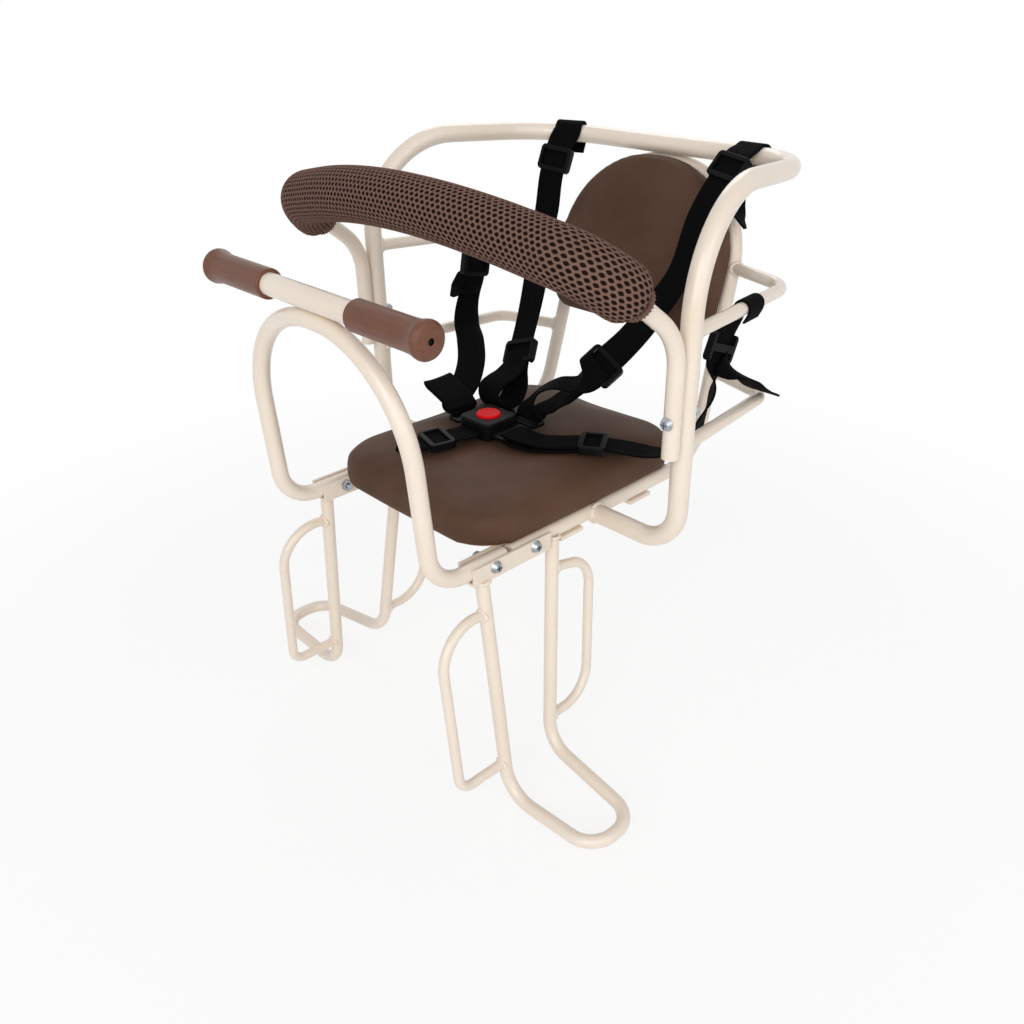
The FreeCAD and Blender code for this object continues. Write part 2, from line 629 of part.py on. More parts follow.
# Front guard bar and its padded sleeve
guard_end = point(dim.upright_x, guard_y, dim.guard_end_z)
guard_knee = point(dim.upright_x, guard_y, dim.guard_knee_z)
guard_corner = point(dim.guard_reach_x, dim.guard_reach_y, dim.guard_reach_z)
guard_nose = point(0, dim.guard_nose_y, dim.guard_nose_z)
guard_half = [guard_end, guard_knee, guard_corner]
guard_route = guard_half + [guard_nose] + mirrored(guard_half, -1)[::-1]
front_bends = (dim.guard_corner_bend, dim.guard_nose_bend, dim.guard_corner_bend)
guard_bends = (dim.guard_knee_bend,) + front_bends + (dim.guard_knee_bend,)
guard_bar = tube("guard_bar", guard_route, guard_bends, dim.guard_tube_d)
guard_bores = []
for side, hand in SIDES:
    end = mirrored([guard_end], hand)[0]
    guard_bores.append(rod(
        "guard_bore_" + side, dim.guard_tube_d - dim.tube_wall * 2, dim.open_end_depth, end, Vector(0, 0, 1)))
keep(cut(guard_bar, *guard_holes, *guard_bores), "guard_bar")

arm_way = (guard_corner - guard_knee).normalize()
front_way = (guard_nose - guard_corner).normalize()
corner_reach = float(dim.guard_corner_bend) * math.tan(arm_way.getAngle(front_way) / 2)
sleeve_end = guard_corner - arm_way * (corner_reach + float(dim.guard_pad_lead))
sleeve_route = [sleeve_end, guard_corner, guard_nose] + mirrored([sleeve_end, guard_corner], -1)[::-1]
sleeve = tube("guard_pad", sleeve_route, front_bends, dim.guard_pad_d)
sleeve_bore = tube("guard_pad_bore", sleeve_route, front_bends, dim.guard_tube_d + dim.clearance * 2)
doc.recompute()
sleeve_round = doc.addObject("Part::Fillet", "guard_pad_round")
sleeve_round.Base = sleeve
sleeve_rims = [i + 1 for i, edge in enumerate(sleeve.Shape.Edges)
               if any(isinstance(face.Surface, Part.Plane)
                      for face in sleeve.Shape.ancestorsOfType(edge, Part.Face))]
sleeve_round.Edges = [(i, float(dim.guard_pad_round), float(dim.guard_pad_round)) for i in sleeve_rims]
keep(cut(sleeve_round, sleeve_bore), "guard_pad")

# Front loop with the handle on top
loop_end = point(rail_x, dim.loop_end_y, rail_z)
loop_low = point(rail_x, dim.loop_low_y, rail_z)
loop_top_x = rail_x - dim.loop_top_inset
loop_top_bend = loop_top_x - dim.loop_top_room
loop_top = point(loop_top_x, dim.loop_top_y, dim.loop_top_z)
loop_bends = (dim.loop_low_bend, loop_top_bend, loop_top_bend, dim.loop_low_bend)
loop_bar = tube("front_loop", both_sides([loop_end, loop_low, loop_top]), loop_bends, dim.loop_tube_d)
keep(cut(loop_bar, *bracket_holes), "front_loop")

handle_half = dim.grip_end_x - dim.grip_cap - dim.clearance
handle_start = point(-handle_half, dim.loop_top_y, handle_z)
keep(rod("handle_rod", dim.handle_tube_d, handle_half * 2, handle_start, Vector(1, 0, 0)), "handle_bar")

grip_bore = dim.handle_tube_d / 2 + dim.clearance / 2
bead_end = dim.grip_start_x + dim.grip_bead_w
flange_start = dim.grip_end_x - dim.grip_flange_w
cap_start = dim.grip_end_x - dim.grip_cap
step = (dim.grip_flange_d - dim.grip_d) / 2
grip_profile = (
    (dim.grip_start_x, grip_bore),
    (dim.grip_start_x, dim.grip_bead_d / 2),
    (bead_end, dim.grip_bead_d / 2),
    (bead_end + step, dim.grip_d / 2),
    (flange_start - step, dim.grip_d / 2),
    (flange_start, dim.grip_flange_d / 2),
    (dim.grip_end_x, dim.grip_flange_d / 2),
    (dim.grip_end_x, dim.grip_hole_d / 2),
    (cap_start, dim.grip_hole_d / 2),
    (cap_start, grip_bore),
)
for side, hand in SIDES:
    body = doc.addObject("PartDesign::Body", "grip_body_" + side)
    profile = outline(body, "grip_profile_" + side, "XY_Plane", [(u * hand, v) for u, v in grip_profile])
    turned = body.newObject("PartDesign::Revolution", "grip_turned_" + side)
    turned.Profile = profile
    turned.ReferenceAxis = (profile, ["H_Axis"])
    turned.Angle = 360.0
    placed(body, point(0, dim.loop_top_y, handle_z), FreeCAD.Rotation())
    keep(body, "grip_" + side)

# U-section bracket channels that join the front loop to the seat rails
channel_blocks = {}
for side, hand in SIDES:
    x = rail_x * hand
    inner = dim.loop_tube_d / 2 + dim.weld_gap
    length = (dim.channel_front_y, dim.channel_rear_y)
    outer_block = box(
        "channel_outer_" + side, span(x, channel_half), length,
        (channel_bottom, channel_floor + dim.channel_side_h))
    inner_block = box(
        "channel_inner_" + side, span(x, inner), length,
        (channel_floor, channel_floor + dim.channel_side_h))
    channel_blocks[side] = outer_block
    channel = cut(outer_block, inner_block, *bracket_holes)
    keep(channel, "bracket_channel_" + side)

# Footrests: one bent tube a side, with a rod guard before and behind the legs
leg_front = point(rail_x + dim.leg_front_out, dim.leg_front_y, channel_bottom + dim.channel_wall / 3)
leg_rear = point(rail_x + dim.leg_rear_out, dim.leg_rear_y, rail_z - dim.seat_tube_d / 4)
foot_front = point(dim.foot_front_x, dim.foot_front_y, dim.foot_front_z)
foot_rear = point(dim.foot_rear_x, dim.foot_rear_y, dim.foot_rear_z)
step_front = point(dim.step_x, dim.step_front_y, dim.step_z)
step_rear = point(dim.step_x, dim.step_rear_y, dim.step_z)
foot_route = [leg_front, foot_front, step_front, step_rear, foot_rear, leg_rear]
foot_bends = (dim.foot_bend, dim.step_bend, dim.step_bend, dim.foot_bend)


def leg_at(top, foot, z):
    return between(top, foot, (float(z) - top.z) / (foot.z - top.z))


def shifted(spot, y, z):
    return spot + Vector(0, float(y), float(z))


front_top = leg_at(leg_front, foot_front, dim.front_guard_top_z)
front_low = leg_at(leg_front, foot_front, dim.front_guard_low_z)
front_guard = [
    front_top,
    shifted(front_top, -dim.front_guard_reach, dim.front_guard_rise),
    shifted(front_low, -dim.front_guard_reach, 0),
    front_low,
]
rear_top = leg_at(leg_rear, foot_rear, dim.rear_guard_top_z)
rear_low = leg_at(leg_rear, foot_rear, dim.rear_guard_low_z)
rear_guard = [
    rear_top,
    shifted(rear_top, dim.rear_guard_reach, -dim.rear_guard_drop),
    shifted(rear_low, dim.rear_guard_reach, 0),
    rear_low,
]
for side, hand in SIDES:
    leg_bar = tube("footrest_" + side, mirrored(foot_route, hand), foot_bends, dim.leg_tube_d)
    leg_loop = cut(leg_bar, seat_bar, channel_blocks[side])
    keep(leg_loop, "footrest_loop_" + side)
    bends = (dim.front_guard_top_bend, dim.front_guard_low_bend)
    guard = tube("front_leg_guard_" + side, mirrored(front_guard, hand), bends, dim.leg_guard_d)
    keep(cut(guard, leg_bar), "front_leg_guard_" + side)
    bends = (dim.rear_guard_top_bend, dim.rear_guard_low_bend)
    guard = tube("rear_leg_guard_" + side, mirrored(rear_guard, hand), bends, dim.leg_guard_d)
    keep(cut(guard, leg_bar), "rear_leg_guard_" + side)

# Flat straps under the rails, slotted for the rack bolts
down = Vector(0, 0, -1)
up = Vector(0, 0, 1)
for place, hand in (("front", -1), ("rear", 1)):
    y = dim.rack_strap_y * hand
    half = rail_x + dim.rack_strap_over
    bar = box(
        "rack_bar_" + place, span(NIL, half), span(y, dim.rack_strap_w / 2), (NIL, dim.rack_strap_t))
    slots = []
    for side, side_hand in SIDES:
        x = dim.rack_slot_x * side_hand
        reach = dim.rack_slot_l / 2 - dim.rack_slot_w / 2
        name = f"rack_slot_{place}_{side}"
        slots.append(box(
            name, span(x, reach), span(y, dim.rack_slot_w / 2), (NIL, dim.rack_strap_t)))
        for end in (-1, 1):
            slots.append(rod(
                f"{name}_end", dim.rack_slot_w, dim.rack_strap_t, point(x + reach * end, y, 0), up))
    keep(cut(bar, *slots), "rack_strap_" + place)

# Tabs on the rails carry the seat board, screwed from below
tabs = []
seat_screws = []
screw_spots = []
tab_low = rail_top - dim.tab_t
for side, hand in SIDES:
    for place, y in (("front", dim.tab_front_y), ("rear", dim.tab_rear_y)):
        name = f"seat_tab_{place}_{side}"
        x = span((rail_x - dim.tab_l / 2) * hand, dim.tab_l / 2)
        sheet_tab = box(name + "_sheet", x, span(y, dim.tab_w / 2), (tab_low, rail_top))
        spot = point((rail_x - dim.tab_screw_in) * hand, y, tab_low)
        hole = rod(name + "_hole", dim.wood_screw_d + dim.clearance, dim.tab_t, spot, up)
        tabs.append(cut(sheet_tab, seat_bar, hole))
        screw_spots.append(spot)
        reach = dim.tab_t + dim.wood_screw_bite
        seat_screws.append(pan_bolt(
            f"seat_screw_{place}_{side}", spot, up, reach,
            dim.wood_screw_d, dim.wood_screw_head_d, dim.wood_screw_head_h))
keep(group("seat_tab_set", tabs), "seat_tabs")
keep(group("seat_screw_set", seat_screws), "seat_screws")

# Seat board and pad, slit for the crotch strap
flat = FreeCAD.Rotation()
slit = box(
    "crotch_slit", span(dim.crotch_slit_x, dim.slit_l / 2), span(dim.crotch_slit_y, dim.slit_w / 2),
    (rail_top, pad_top))
seat_holes = [rod(f"seat_hole_{i}", screw_bore, dim.tab_t + dim.seat_board_t, spot, up)
              for i, spot in enumerate(screw_spots)]


def seat_plate(label, lip, thickness, height):
    """Rounded plan of the seat, drawn in from the pad's edge by a lip."""
    corners = rectangle(dim.seat_pad_half_w - lip, dim.seat_pad_front_y + lip, dim.seat_pad_rear_y - lip)
    body = plate(label, corners, thickness)
    rounded(body, label + "_corners", dim.seat_pad_corner - lip, upright_edge)
    return placed(body, point(0, 0, height), flat)


board = seat_plate("seat_board", dim.pad_lip, dim.seat_board_t, rail_top)
keep(cut(board, slit, *seat_holes), "seat_board")
recess_depth = dim.seat_board_t + dim.clearance - dim.loop_headroom
recess = seat_plate("seat_recess", dim.pad_lip - dim.clearance, recess_depth, pad_bottom)
cushion = seat_plate("seat_pad", NIL, dim.seat_pad_t, pad_bottom)
rounded(cushion, "seat_pad_round", dim.seat_pad_round, rim_edge(float(dim.seat_pad_t)))
keep(cut(cushion, recess, slit), "seat_pad")

# Backrest board and pad on the arch
back_face = dim.seat_tube_d / 2 + dim.weld_gap


def back_plate(label, lip, thickness, w):
    """Arched plan of the backrest, drawn in from the pad's edge by a lip."""
    foot = dim.back_pad_foot_half_w - lip
    head = dim.back_pad_half_w - lip
    low = dim.back_pad_low + lip
    high = dim.back_pad_high - lip
    body = plate(label, ((-foot, low), (foot, low), (head, high), (-head, high)), thickness)
    middle = float(low + high) / 2

    def head_corner(edge):
        return upright_edge(edge) and edge.BoundBox.YMin > middle

    def foot_corner(edge):
        return upright_edge(edge) and edge.BoundBox.YMin < float(low) + SAME

    rounded(body, label + "_head", dim.back_pad_corner - lip, head_corner)
    rounded(body, label + "_foot", dim.back_pad_foot_corner - lip, foot_corner)
    return placed(body, on_backrest(0, 0, w), lean_turn)


board = back_plate("back_board", dim.pad_lip, dim.back_board_t, back_face)
keep(cut(board, *back_board_holes), "backrest_board")
recess = back_plate("back_recess", dim.pad_lip - dim.clearance, dim.back_board_t + dim.clearance, back_face)
cushion = back_plate("back_pad", NIL, dim.back_pad_t, back_face)
rounded(cushion, "back_pad_round", dim.back_pad_round, rim_edge(float(dim.back_pad_t)))
keep(cut(cushion, recess), "backrest_pad")

# Buckle: base, cover, button and spring
buckle_z = pad_top + dim.buckle_lift
cover_z = buckle_z + dim.buckle_base_h
cover_top = cover_z + dim.buckle_cover_h
buckle_middle = point(dim.buckle_x, dim.buckle_y, 0)
tongue_z = cover_z - dim.tongue_t - dim.clearance
mouth = dim.tongue_w / 2 + dim.clearance
mouth_z = (tongue_z - dim.clearance, cover_z)
half_w = dim.buckle_w / 2
half_l = dim.buckle_l / 2


def buckle_plate(label, height, z):
    body = plate(label, rectangle(half_w, -half_l, half_l), height)
    rounded(body, label + "_corners", dim.buckle_corner, upright_edge)
    return placed(body, point(dim.buckle_x, dim.buckle_y, z), flat)


def buckle_rod(name, diameter, low, high):
    return rod(name, diameter, high - low, point(dim.buckle_x, dim.buckle_y, low), up)


mouths = []
for side, hand in SIDES:
    deep = dim.buckle_x + (half_w - dim.tongue_deep - dim.clearance) * hand
    edge = dim.buckle_x + half_w * hand
    limits = (deep, edge) if hand > 0 else (edge, deep)
    mouths.append(box("waist_mouth_" + side, limits, span(dim.buckle_y, mouth), mouth_z))
    x = dim.buckle_x + dim.shoulder_blade_x * hand
    rear = dim.buckle_y + half_l
    mouths.append(box(
        "shoulder_mouth_" + side, span(x, mouth), (rear - dim.tongue_deep - dim.clearance, rear), mouth_z))
front = dim.buckle_y - half_l
mouths.append(box(
    "crotch_mouth", span(dim.buckle_x, dim.webbing_w / 2 + dim.clearance),
    (front, front + dim.crotch_deep + dim.clearance), mouth_z))
well = buckle_rod("spring_well", dim.spring_d + dim.clearance * 2, buckle_z + dim.spring_well, cover_z)
keep(cut(buckle_plate("buckle_base", dim.buckle_base_h, buckle_z), well, *mouths), "buckle_base")

flange_top = cover_top - dim.cover_lip - dim.clearance
flange_low = flange_top - dim.button_flange_t
button_hole = buckle_rod("button_hole", dim.button_d + dim.clearance * 2, cover_z, cover_top)
flange_room = buckle_rod(
    "flange_room", dim.button_flange_d + dim.clearance * 2, cover_z, cover_top - dim.cover_lip)
cover = buckle_plate("buckle_cover", dim.buckle_cover_h, cover_z)
rounded(cover, "buckle_cover_round", dim.buckle_round, rim_edge(float(dim.buckle_cover_h)))
keep(cut(cover, button_hole, flange_room), "buckle_cover")

button_body = doc.addObject("PartDesign::Body", "button_body")
button_top = cover_top - flange_low + dim.button_proud
button_profile = (
    (NIL, NIL),
    (dim.button_flange_d / 2, NIL),
    (dim.button_flange_d / 2, dim.button_flange_t),
    (dim.button_d / 2, dim.button_flange_t),
    (dim.button_d / 2, button_top - dim.button_edge),
    (dim.button_d / 2 - dim.button_edge, button_top),
    (NIL, button_top),
)
profile = outline(button_body, "button_profile", "XZ_Plane", button_profile)
turned = button_body.newObject("PartDesign::Revolution", "button_turned")
turned.Profile = profile
turned.ReferenceAxis = (profile, ["V_Axis"])
turned.Angle = 360.0
placed(button_body, point(dim.buckle_x, dim.buckle_y, flange_low), flat)
keep(button_body, "release_button")

spring_low = buckle_z + dim.spring_well
coil_d = dim.spring_d - dim.spring_wire
coil_height = flange_low - spring_low - dim.spring_wire - dim.weld_gap * 2
coil = doc.addObject("Part::Helix", "spring_coil")
bind(coil, "Radius", coil_d / 2)
bind(coil, "Height", coil_height)
bind(coil, "Pitch", dim.spring_pitch)
coil.SegmentLength = HALF_TURN
coil_section = doc.addObject("Part::Circle", "spring_section")
bind(coil_section, "Radius", dim.spring_wire / 2)
coil_section.Placement = FreeCAD.Placement(
    point(coil_d / 2, 0, 0), FreeCAD.Rotation(Vector(0, 0, 1), Vector(0, 1, 0)))
doc.recompute()
spring = doc.addObject("Part::Sweep", "spring_wire_bar")
spring.Sections = [coil_section]
spring.Spine = (coil, [f"Edge{i + 1}" for i in range(len(coil.Shape.Edges))])
spring.Solid = True
spring.Frenet = True
coil_base = spring_low + dim.spring_wire / 2 + dim.weld_gap
placed(spring, point(dim.buckle_x, dim.buckle_y, coil_base), flat)
keep(spring, "button_spring")

# Tongues: a blade in the buckle and a slotted head for the strap, drawn along +Y and turned into place
for side, hand in SIDES:
    for kind in ("shoulder", "waist"):
        name = f"{kind}_tongue_{side}"
        shift = (dim.shoulder_head_x - dim.shoulder_blade_x) * hand if kind == "shoulder" else NIL
        blade = box(
            name + "_blade", span(NIL, dim.tongue_w / 2), (-dim.tongue_deep, dim.tongue_corner),
            (NIL, dim.tongue_t))
        head_plan = rectangle(dim.tongue_head_w / 2, dim.clearance, dim.tongue_head_l)
        head = plate(name + "_head", head_plan, dim.tongue_t)
        rounded(head, name + "_corners", dim.tongue_corner, upright_edge)
        placed(head, point(shift, 0, 0), flat)
        slot = box(
            name + "_slot", span(shift, dim.webbing_w / 2 + dim.clearance),
            (dim.tongue_bar, dim.tongue_bar + dim.tongue_slot), (NIL, dim.tongue_t))
        tongue = cut(fuse(name + "_plate", blade, head), slot)
        if kind == "waist":
            place = point(dim.buckle_x + half_w * hand, dim.buckle_y, tongue_z)
            turn = FreeCAD.Rotation(up, -90 * hand)
        else:
            place = point(dim.buckle_x + dim.shoulder_blade_x * hand, dim.buckle_y + half_l, tongue_z)
            turn = flat
        keep(placed(tongue, place, turn), name)

# Harness: flat webbing in ruled runs.  Each row of a route is a point on the strap's middle line
# and the way its outer face looks there; the first and last rows follow their fittings.
LEFT_SHOULDER = (
    (83.0, 177.0, 252.0, 0.0, -0.6, 0.8),
    (79.5, 158.0, 238.0, 0.0, -0.7, 0.7),
    (72.0, 132.0, 212.0, 0.0, -0.9, 0.4),
    (69.0, 112.0, 167.0, 0.0, -0.8, 0.6),
    (62.0, 90.0, 140.0, 0.2, -0.7, 0.7),
    (60.0, 68.0, 124.0, 0.3, -0.5, 0.8),
    (54.0, 40.0, 106.0, 0.5, -0.4, 0.8),
    (42.0, 33.0, 92.0, 0.4, -0.4, 0.8),
    (28.0, 33.0, 78.0, 0.2, -0.4, 0.9),
    (13.0, 32.0, 66.0, 0.1, -0.3, 0.9),
    (4.0, 27.0, 59.0, 0.0, -0.1, 1.0),
    (1.5, 20.5, 56.5, 0.0, 0.0, 1.0),
    (1.5, 14.6, 56.2, 0.0, 0.0, 1.0),
)
RIGHT_SHOULDER = (
    (-110.0, 170.0, 252.0, 0.0, -0.6, 0.8),
    (-113.0, 158.0, 228.0, 0.2, -0.9, 0.4),
    (-109.0, 140.0, 190.0, 0.2, -0.9, 0.4),
    (-92.0, 114.0, 162.0, 0.1, -0.8, 0.6),
    (-72.0, 88.0, 136.0, 0.0, -0.7, 0.7),
    (-56.0, 62.0, 108.0, -0.1, -0.7, 0.7),
    (-46.0, 46.0, 92.0, -0.1, -0.7, 0.7),
    (-40.0, 36.0, 76.0, 0.0, -0.7, 0.7),
    (-35.0, 30.0, 64.0, 0.0, -0.5, 0.9),
    (-33.5, 24.0, 57.8, 0.0, -0.2, 1.0),
    (-33.5, 19.0, 56.3, 0.0, 0.0, 1.0),
    (-33.5, 14.6, 56.2, 0.0, 0.0, 1.0),
)
LEFT_WAIST = (
    (158.0, 78.0, 169.0, -1.0, 0.0, 0.0),
    (152.0, 66.0, 136.0, -1.0, 0.0, 0.0),
    (150.0, 54.0, 110.0, -1.0, 0.0, 0.0),
    (149.0, 45.0, 88.0, -1.0, 0.0, 0.1),
    (145.0, 39.0, 70.0, -0.9, 0.0, 0.4),
    (132.0, 35.0, 58.0, -0.5, 0.0, 0.9),
    (114.0, 32.0, 52.0, -0.2, 0.0, 1.0),
    (96.0, 28.0, 50.6, 0.0, 0.0, 1.0),
    (70.0, 15.0, 50.6, 0.0, 0.0, 1.0),
    (50.0, -4.0, 51.2, 0.0, 0.0, 1.0),
    (37.0, -17.0, 53.6, 0.0, 0.0, 1.0),
    (26.0, -22.0, 56.0, 0.0, 0.0, 1.0),
    (18.6, -22.0, 56.2, 0.0, 0.0, 1.0),
)
RIGHT_WAIST = (
    (-156.0, 92.0, 169.0, 1.0, 0.0, 0.0),
    (-152.0, 87.0, 142.0, 1.0, 0.0, 0.0),
    (-149.0, 78.0, 112.0, 1.0, 0.0, 0.2),
    (-140.0, 66.0, 96.0, 0.8, -0.2, 0.6),
    (-116.0, 48.0, 86.0, 0.3, -0.2, 0.9),
    (-96.0, 30.0, 76.0, 0.2, -0.2, 0.9),
    (-80.0, 8.0, 66.0, 0.2, -0.1, 0.9),
    (-70.0, -12.0, 59.0, 0.1, 0.0, 1.0),
    (-59.0, -21.5, 56.3, 0.0, 0.0, 1.0),
    (-50.6, -22.0, 56.2, 0.0, 0.0, 1.0),
)
CROTCH = (
    (-31.0, -98.0, 8.0, 0.0, -1.0, 0.0),
    (-31.0, -98.0, 40.0, 0.0, -1.0, 0.0),
    (-31.0, -98.0, 46.0, 0.0, -0.9, 0.4),
    (-30.6, -96.0, 49.6, 0.0, -0.5, 0.9),
    (-29.8, -91.5, 51.0, 0.0, 0.0, 1.0),
    (-24.5, -71.0, 51.6, 0.0, 0.0, 1.0),
    (-19.0, -56.0, 52.6, 0.0, 0.0, 1.0),
    (-16.0, -48.0, 53.0, 0.0, 0.0, 1.0),
    (-16.0, -42.0, 53.0, 0.0, 0.0, 1.0),
    (-16.0, -34.0, 53.0, 0.0, 0.0, 1.0),
)
half_web = dim.webbing_w / 2
half_thick = dim.webbing_t / 2


def carried(route, start, end):
    """Points of a route, moved with the fittings at its two ends."""
    points = [Vector(*row[:3]) for row in route]
    start_move = start - points[0]
    end_move = end - points[-1]
    shares = [i / (len(points) - 1) for i in range(len(points))]
    return [p + start_move * (1 - share) + end_move * share for p, share in zip(points, shares)]


def nearest_on(path, spot):
    """Nearest point of a bent path and the way the path runs there."""
    trail = path.Shape.discretize(Number=TRAIL_POINTS)
    i = min(range(1, len(trail) - 1), key=lambda k: trail[k].distanceToPoint(spot))
    return trail[i], (trail[i + 1] - trail[i - 1]).normalize()


def section_frame(before, after, face):
    """Along, across and outward directions of a strap."""
    along = (after - before).normalize()
    across = along.cross(face).normalize()
    return along, across, across.cross(along)


def straight_at(points, faces, places):
    """Give the strap a straight run at each slider; also return the sliders' places."""
    run = float(dim.slider_l) / 2 + float(dim.clearance)
    new_points = []
    new_faces = []
    frames = []
    for i, (spot, face) in enumerate(zip(points, faces)):
        if i not in places:
            new_points.append(spot)
            new_faces.append(face)
            continue
        along, across, out = section_frame(points[i - 1], points[i + 1], face)
        new_points.extend([spot - along * run, spot + along * run])
        new_faces.extend([out, out])
        turn = FreeCAD.Rotation(across, along, out, "XYZ")
        frames.append(FreeCAD.Placement(spot, turn))
    return new_points, new_faces, frames


def webbing(label, points, faces):
    """Flat strap through the points, its outer face turned as asked."""
    wires = []
    for i, (spot, face) in enumerate(zip(points, faces)):
        before = points[max(i - 1, 0)]
        after = points[min(i + 1, len(points) - 1)]
        along, across, out = section_frame(before, after, face)
        side_step = across * float(half_web)
        out_step = out * float(half_thick)
        ring = [spot - side_step - out_step, spot + side_step - out_step,
                spot + side_step + out_step, spot - side_step + out_step]
        wires.append(Part.makePolygon(ring + ring[:1]))
    strap = doc.addObject("Part::Feature", label + "_webbing")
    strap.Shape = Part.makeLoft(wires, True, True)
    return keep(strap, label)


def wrapped(centre, axis, bar_d, towards, face):
    """Strap round a tube, up its far side and down its near side; also its offset from the axis."""
    reach = float(bar_d / 2 + dim.clearance + half_thick)
    down_way = towards - centre
    down_way = (down_way - axis * down_way.dot(axis)).normalize()
    near = face - axis * face.dot(axis)
    near = (near - down_way * near.dot(down_way)).normalize()
    tail_down = down_way * (reach * float(dim.loop_tail_down))
    tail_back = near * (reach * float(dim.loop_tail_back))
    points = [centre + tail_down - tail_back]
    faces = [-near]
    for degrees in range(-90, 91, LOOP_STEP):
        turn = math.radians(degrees)
        outward = near * math.sin(turn) - down_way * math.cos(turn)
        points.append(centre + outward * reach)
        faces.append(outward)
    return points, faces, near * reach


def slider(label, place):
    """Two-slot slider with rounded rims: end bars over the strap and a middle bar under it."""
    inner = half_web + dim.clearance
    outer = inner + dim.slider_rail
    gap = half_thick + dim.clearance
    half = dim.slider_l / 2
    top = dim.slider_t / 2
    body = plate(label + "_block", rectangle(outer, -half, half), dim.slider_t)
    rounded(body, label + "_corners", dim.slider_corner, upright_edge)
    rounded(body, label + "_rim", dim.slider_edge, rim_edge(float(dim.slider_t)))
    placed(body, point(0, 0, -top), flat)
    openings = [
        box(label + "_way", span(NIL, inner), span(NIL, half), span(NIL, gap)),
        box(label + "_window", span(NIL, inner), span(NIL, half - dim.slider_bar), (gap, top)),
    ]
    for side, hand in SIDES:
        middle = (half + dim.slider_middle / 2) / 2 * hand
        reach = (half - dim.slider_middle / 2) / 2
        openings.append(box(f"{label}_slot_{side}", span(NIL, inner), span(middle, reach), (-top, -gap)))
    frame = cut(body, *openings)
    frame.Placement = place
    return keep(frame, label)


frame_path = doc.getObject("back_frame_path")
tongue_top = tongue_z + dim.tongue_t + dim.clearance + half_thick
bar_end = dim.tongue_bar + dim.tongue_slot
for label, route, spot, bar_d, path, end, sliders in (
    ("shoulder_strap_left", LEFT_SHOULDER, point(dim.left_anchor_x, dim.top_rail_y, dim.top_rail_z),
     dim.frame_tube_d + dim.wrap_slack * 2, frame_path,
     point(dim.buckle_x + dim.shoulder_head_x, dim.buckle_y + half_l + bar_end, tongue_top),
     {1: "upper_slider_left", 6: "lower_slider_left"}),
    ("shoulder_strap_right", RIGHT_SHOULDER, point(dim.right_anchor_x, dim.top_rail_y, dim.top_rail_z),
     dim.frame_tube_d + dim.bend_slack * 2, frame_path,
     point(dim.buckle_x - dim.shoulder_head_x, dim.buckle_y + half_l + bar_end, tongue_top),
     {1: "upper_slider_right", 6: "lower_slider_right"}),
    ("waist_strap_left", LEFT_WAIST, point(dim.upright_x, dim.left_waist_y, dim.upper_arm_z),
     dim.arm_tube_d, doc.getObject("upper_arm_left_path"),
     point(dim.buckle_x + half_w + bar_end, dim.buckle_y, tongue_top),
     {1: "side_slider_left", 8: "waist_slider_left"}),
    ("waist_strap_right", RIGHT_WAIST, point(-dim.upright_x, dim.right_waist_y, dim.upper_arm_z),
     dim.arm_tube_d, doc.getObject("upper_arm_right_path"),
     point(dim.buckle_x - half_w - bar_end, dim.buckle_y, tongue_top),
     {1: "side_slider_right"}),
):
    centre, axis = nearest_on(path, spot)
    points = carried(route, centre, end)
    faces = [Vector(*row[3:]) for row in route]
    loop_points, loop_faces, offset = wrapped(centre, axis, bar_d, points[1], faces[1])
    points[0] = points[0] + offset
    points[1] = points[1] + offset
    points, faces, frames = straight_at(points, faces, sliders)
    webbing(label, loop_points + points[1:], loop_faces + faces[1:])
    for name, frame in zip(sliders.values(), frames):
        slider(name, frame)

# Crotch strap: from its anchor plate up through the seat to the buckle
plate_top = rail_top - dim.weld_gap
plate_low = plate_top - dim.crotch_anchor_t
anchor_plate = box(
    "crotch_plate", span(dim.crotch_slit_x, dim.crotch_anchor_l / 2),
    span(dim.crotch_slit_y, dim.crotch_anchor_w / 2), (plate_low, plate_top))
anchor_slot = box(
    "crotch_plate_slot", span(dim.crotch_slit_x, half_web + dim.clearance),
    span(dim.crotch_slit_y, half_thick + dim.clearance), (plate_low, plate_top))
keep(cut(anchor_plate, anchor_slot), "crotch_anchor")
crotch_start = point(dim.crotch_slit_x, dim.crotch_slit_y, plate_low - dim.crotch_tail)
crotch_end = point(
    dim.buckle_x, dim.buckle_y - half_l + dim.crotch_deep, mouth_z[0] + (mouth_z[1] - mouth_z[0]) / 2)
crotch_points = carried(CROTCH, crotch_start, crotch_end)
crotch_faces = [Vector(*row[3:]) for row in CROTCH]
crotch_points, crotch_faces, crotch_frames = straight_at(crotch_points, crotch_faces, (5,))
webbing("crotch_strap", crotch_points, crotch_faces)
slider("crotch_slider", crotch_frames[0])


def checked_labels():
    """Stop if any feature failed or any sub-part is not a sound solid."""
    for feature in doc.Objects:
        if "Invalid" in feature.State or "Error" in feature.State:
            raise RuntimeError(f"{feature.Name} failed: {feature.State}")
    for feature in nodes:
        if feature.Shape.isNull() or not feature.Shape.isValid() or not feature.Shape.Solids:
            raise RuntimeError(f"{feature.Label} is not a sound solid")


doc.recompute()
checked_labels()
os.makedirs("parts", exist_ok=True)
for feature in nodes:
    feature.Shape.exportStep(f"parts/{feature.Label}.step")
    print(f"{feature.Label}: {len(feature.Shape.Solids)} solid(s), {feature.Shape.Volume:.0f} mm3")
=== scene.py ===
"""Looks of a rear child bike seat: painted tube frame, vinyl pads, mesh guard sleeve and webbing harness.

Every length in the classes is in millimetres in the part's own frame: the origin lies between the rack
bolts, +Z is up, -Y is the child's forward direction and +X is the child's left.
"""

import json
import logging
import math
from dataclasses import dataclass
from enum import Enum

import bmesh
import bpy
import numpy as np
from mathutils import Matrix, Vector


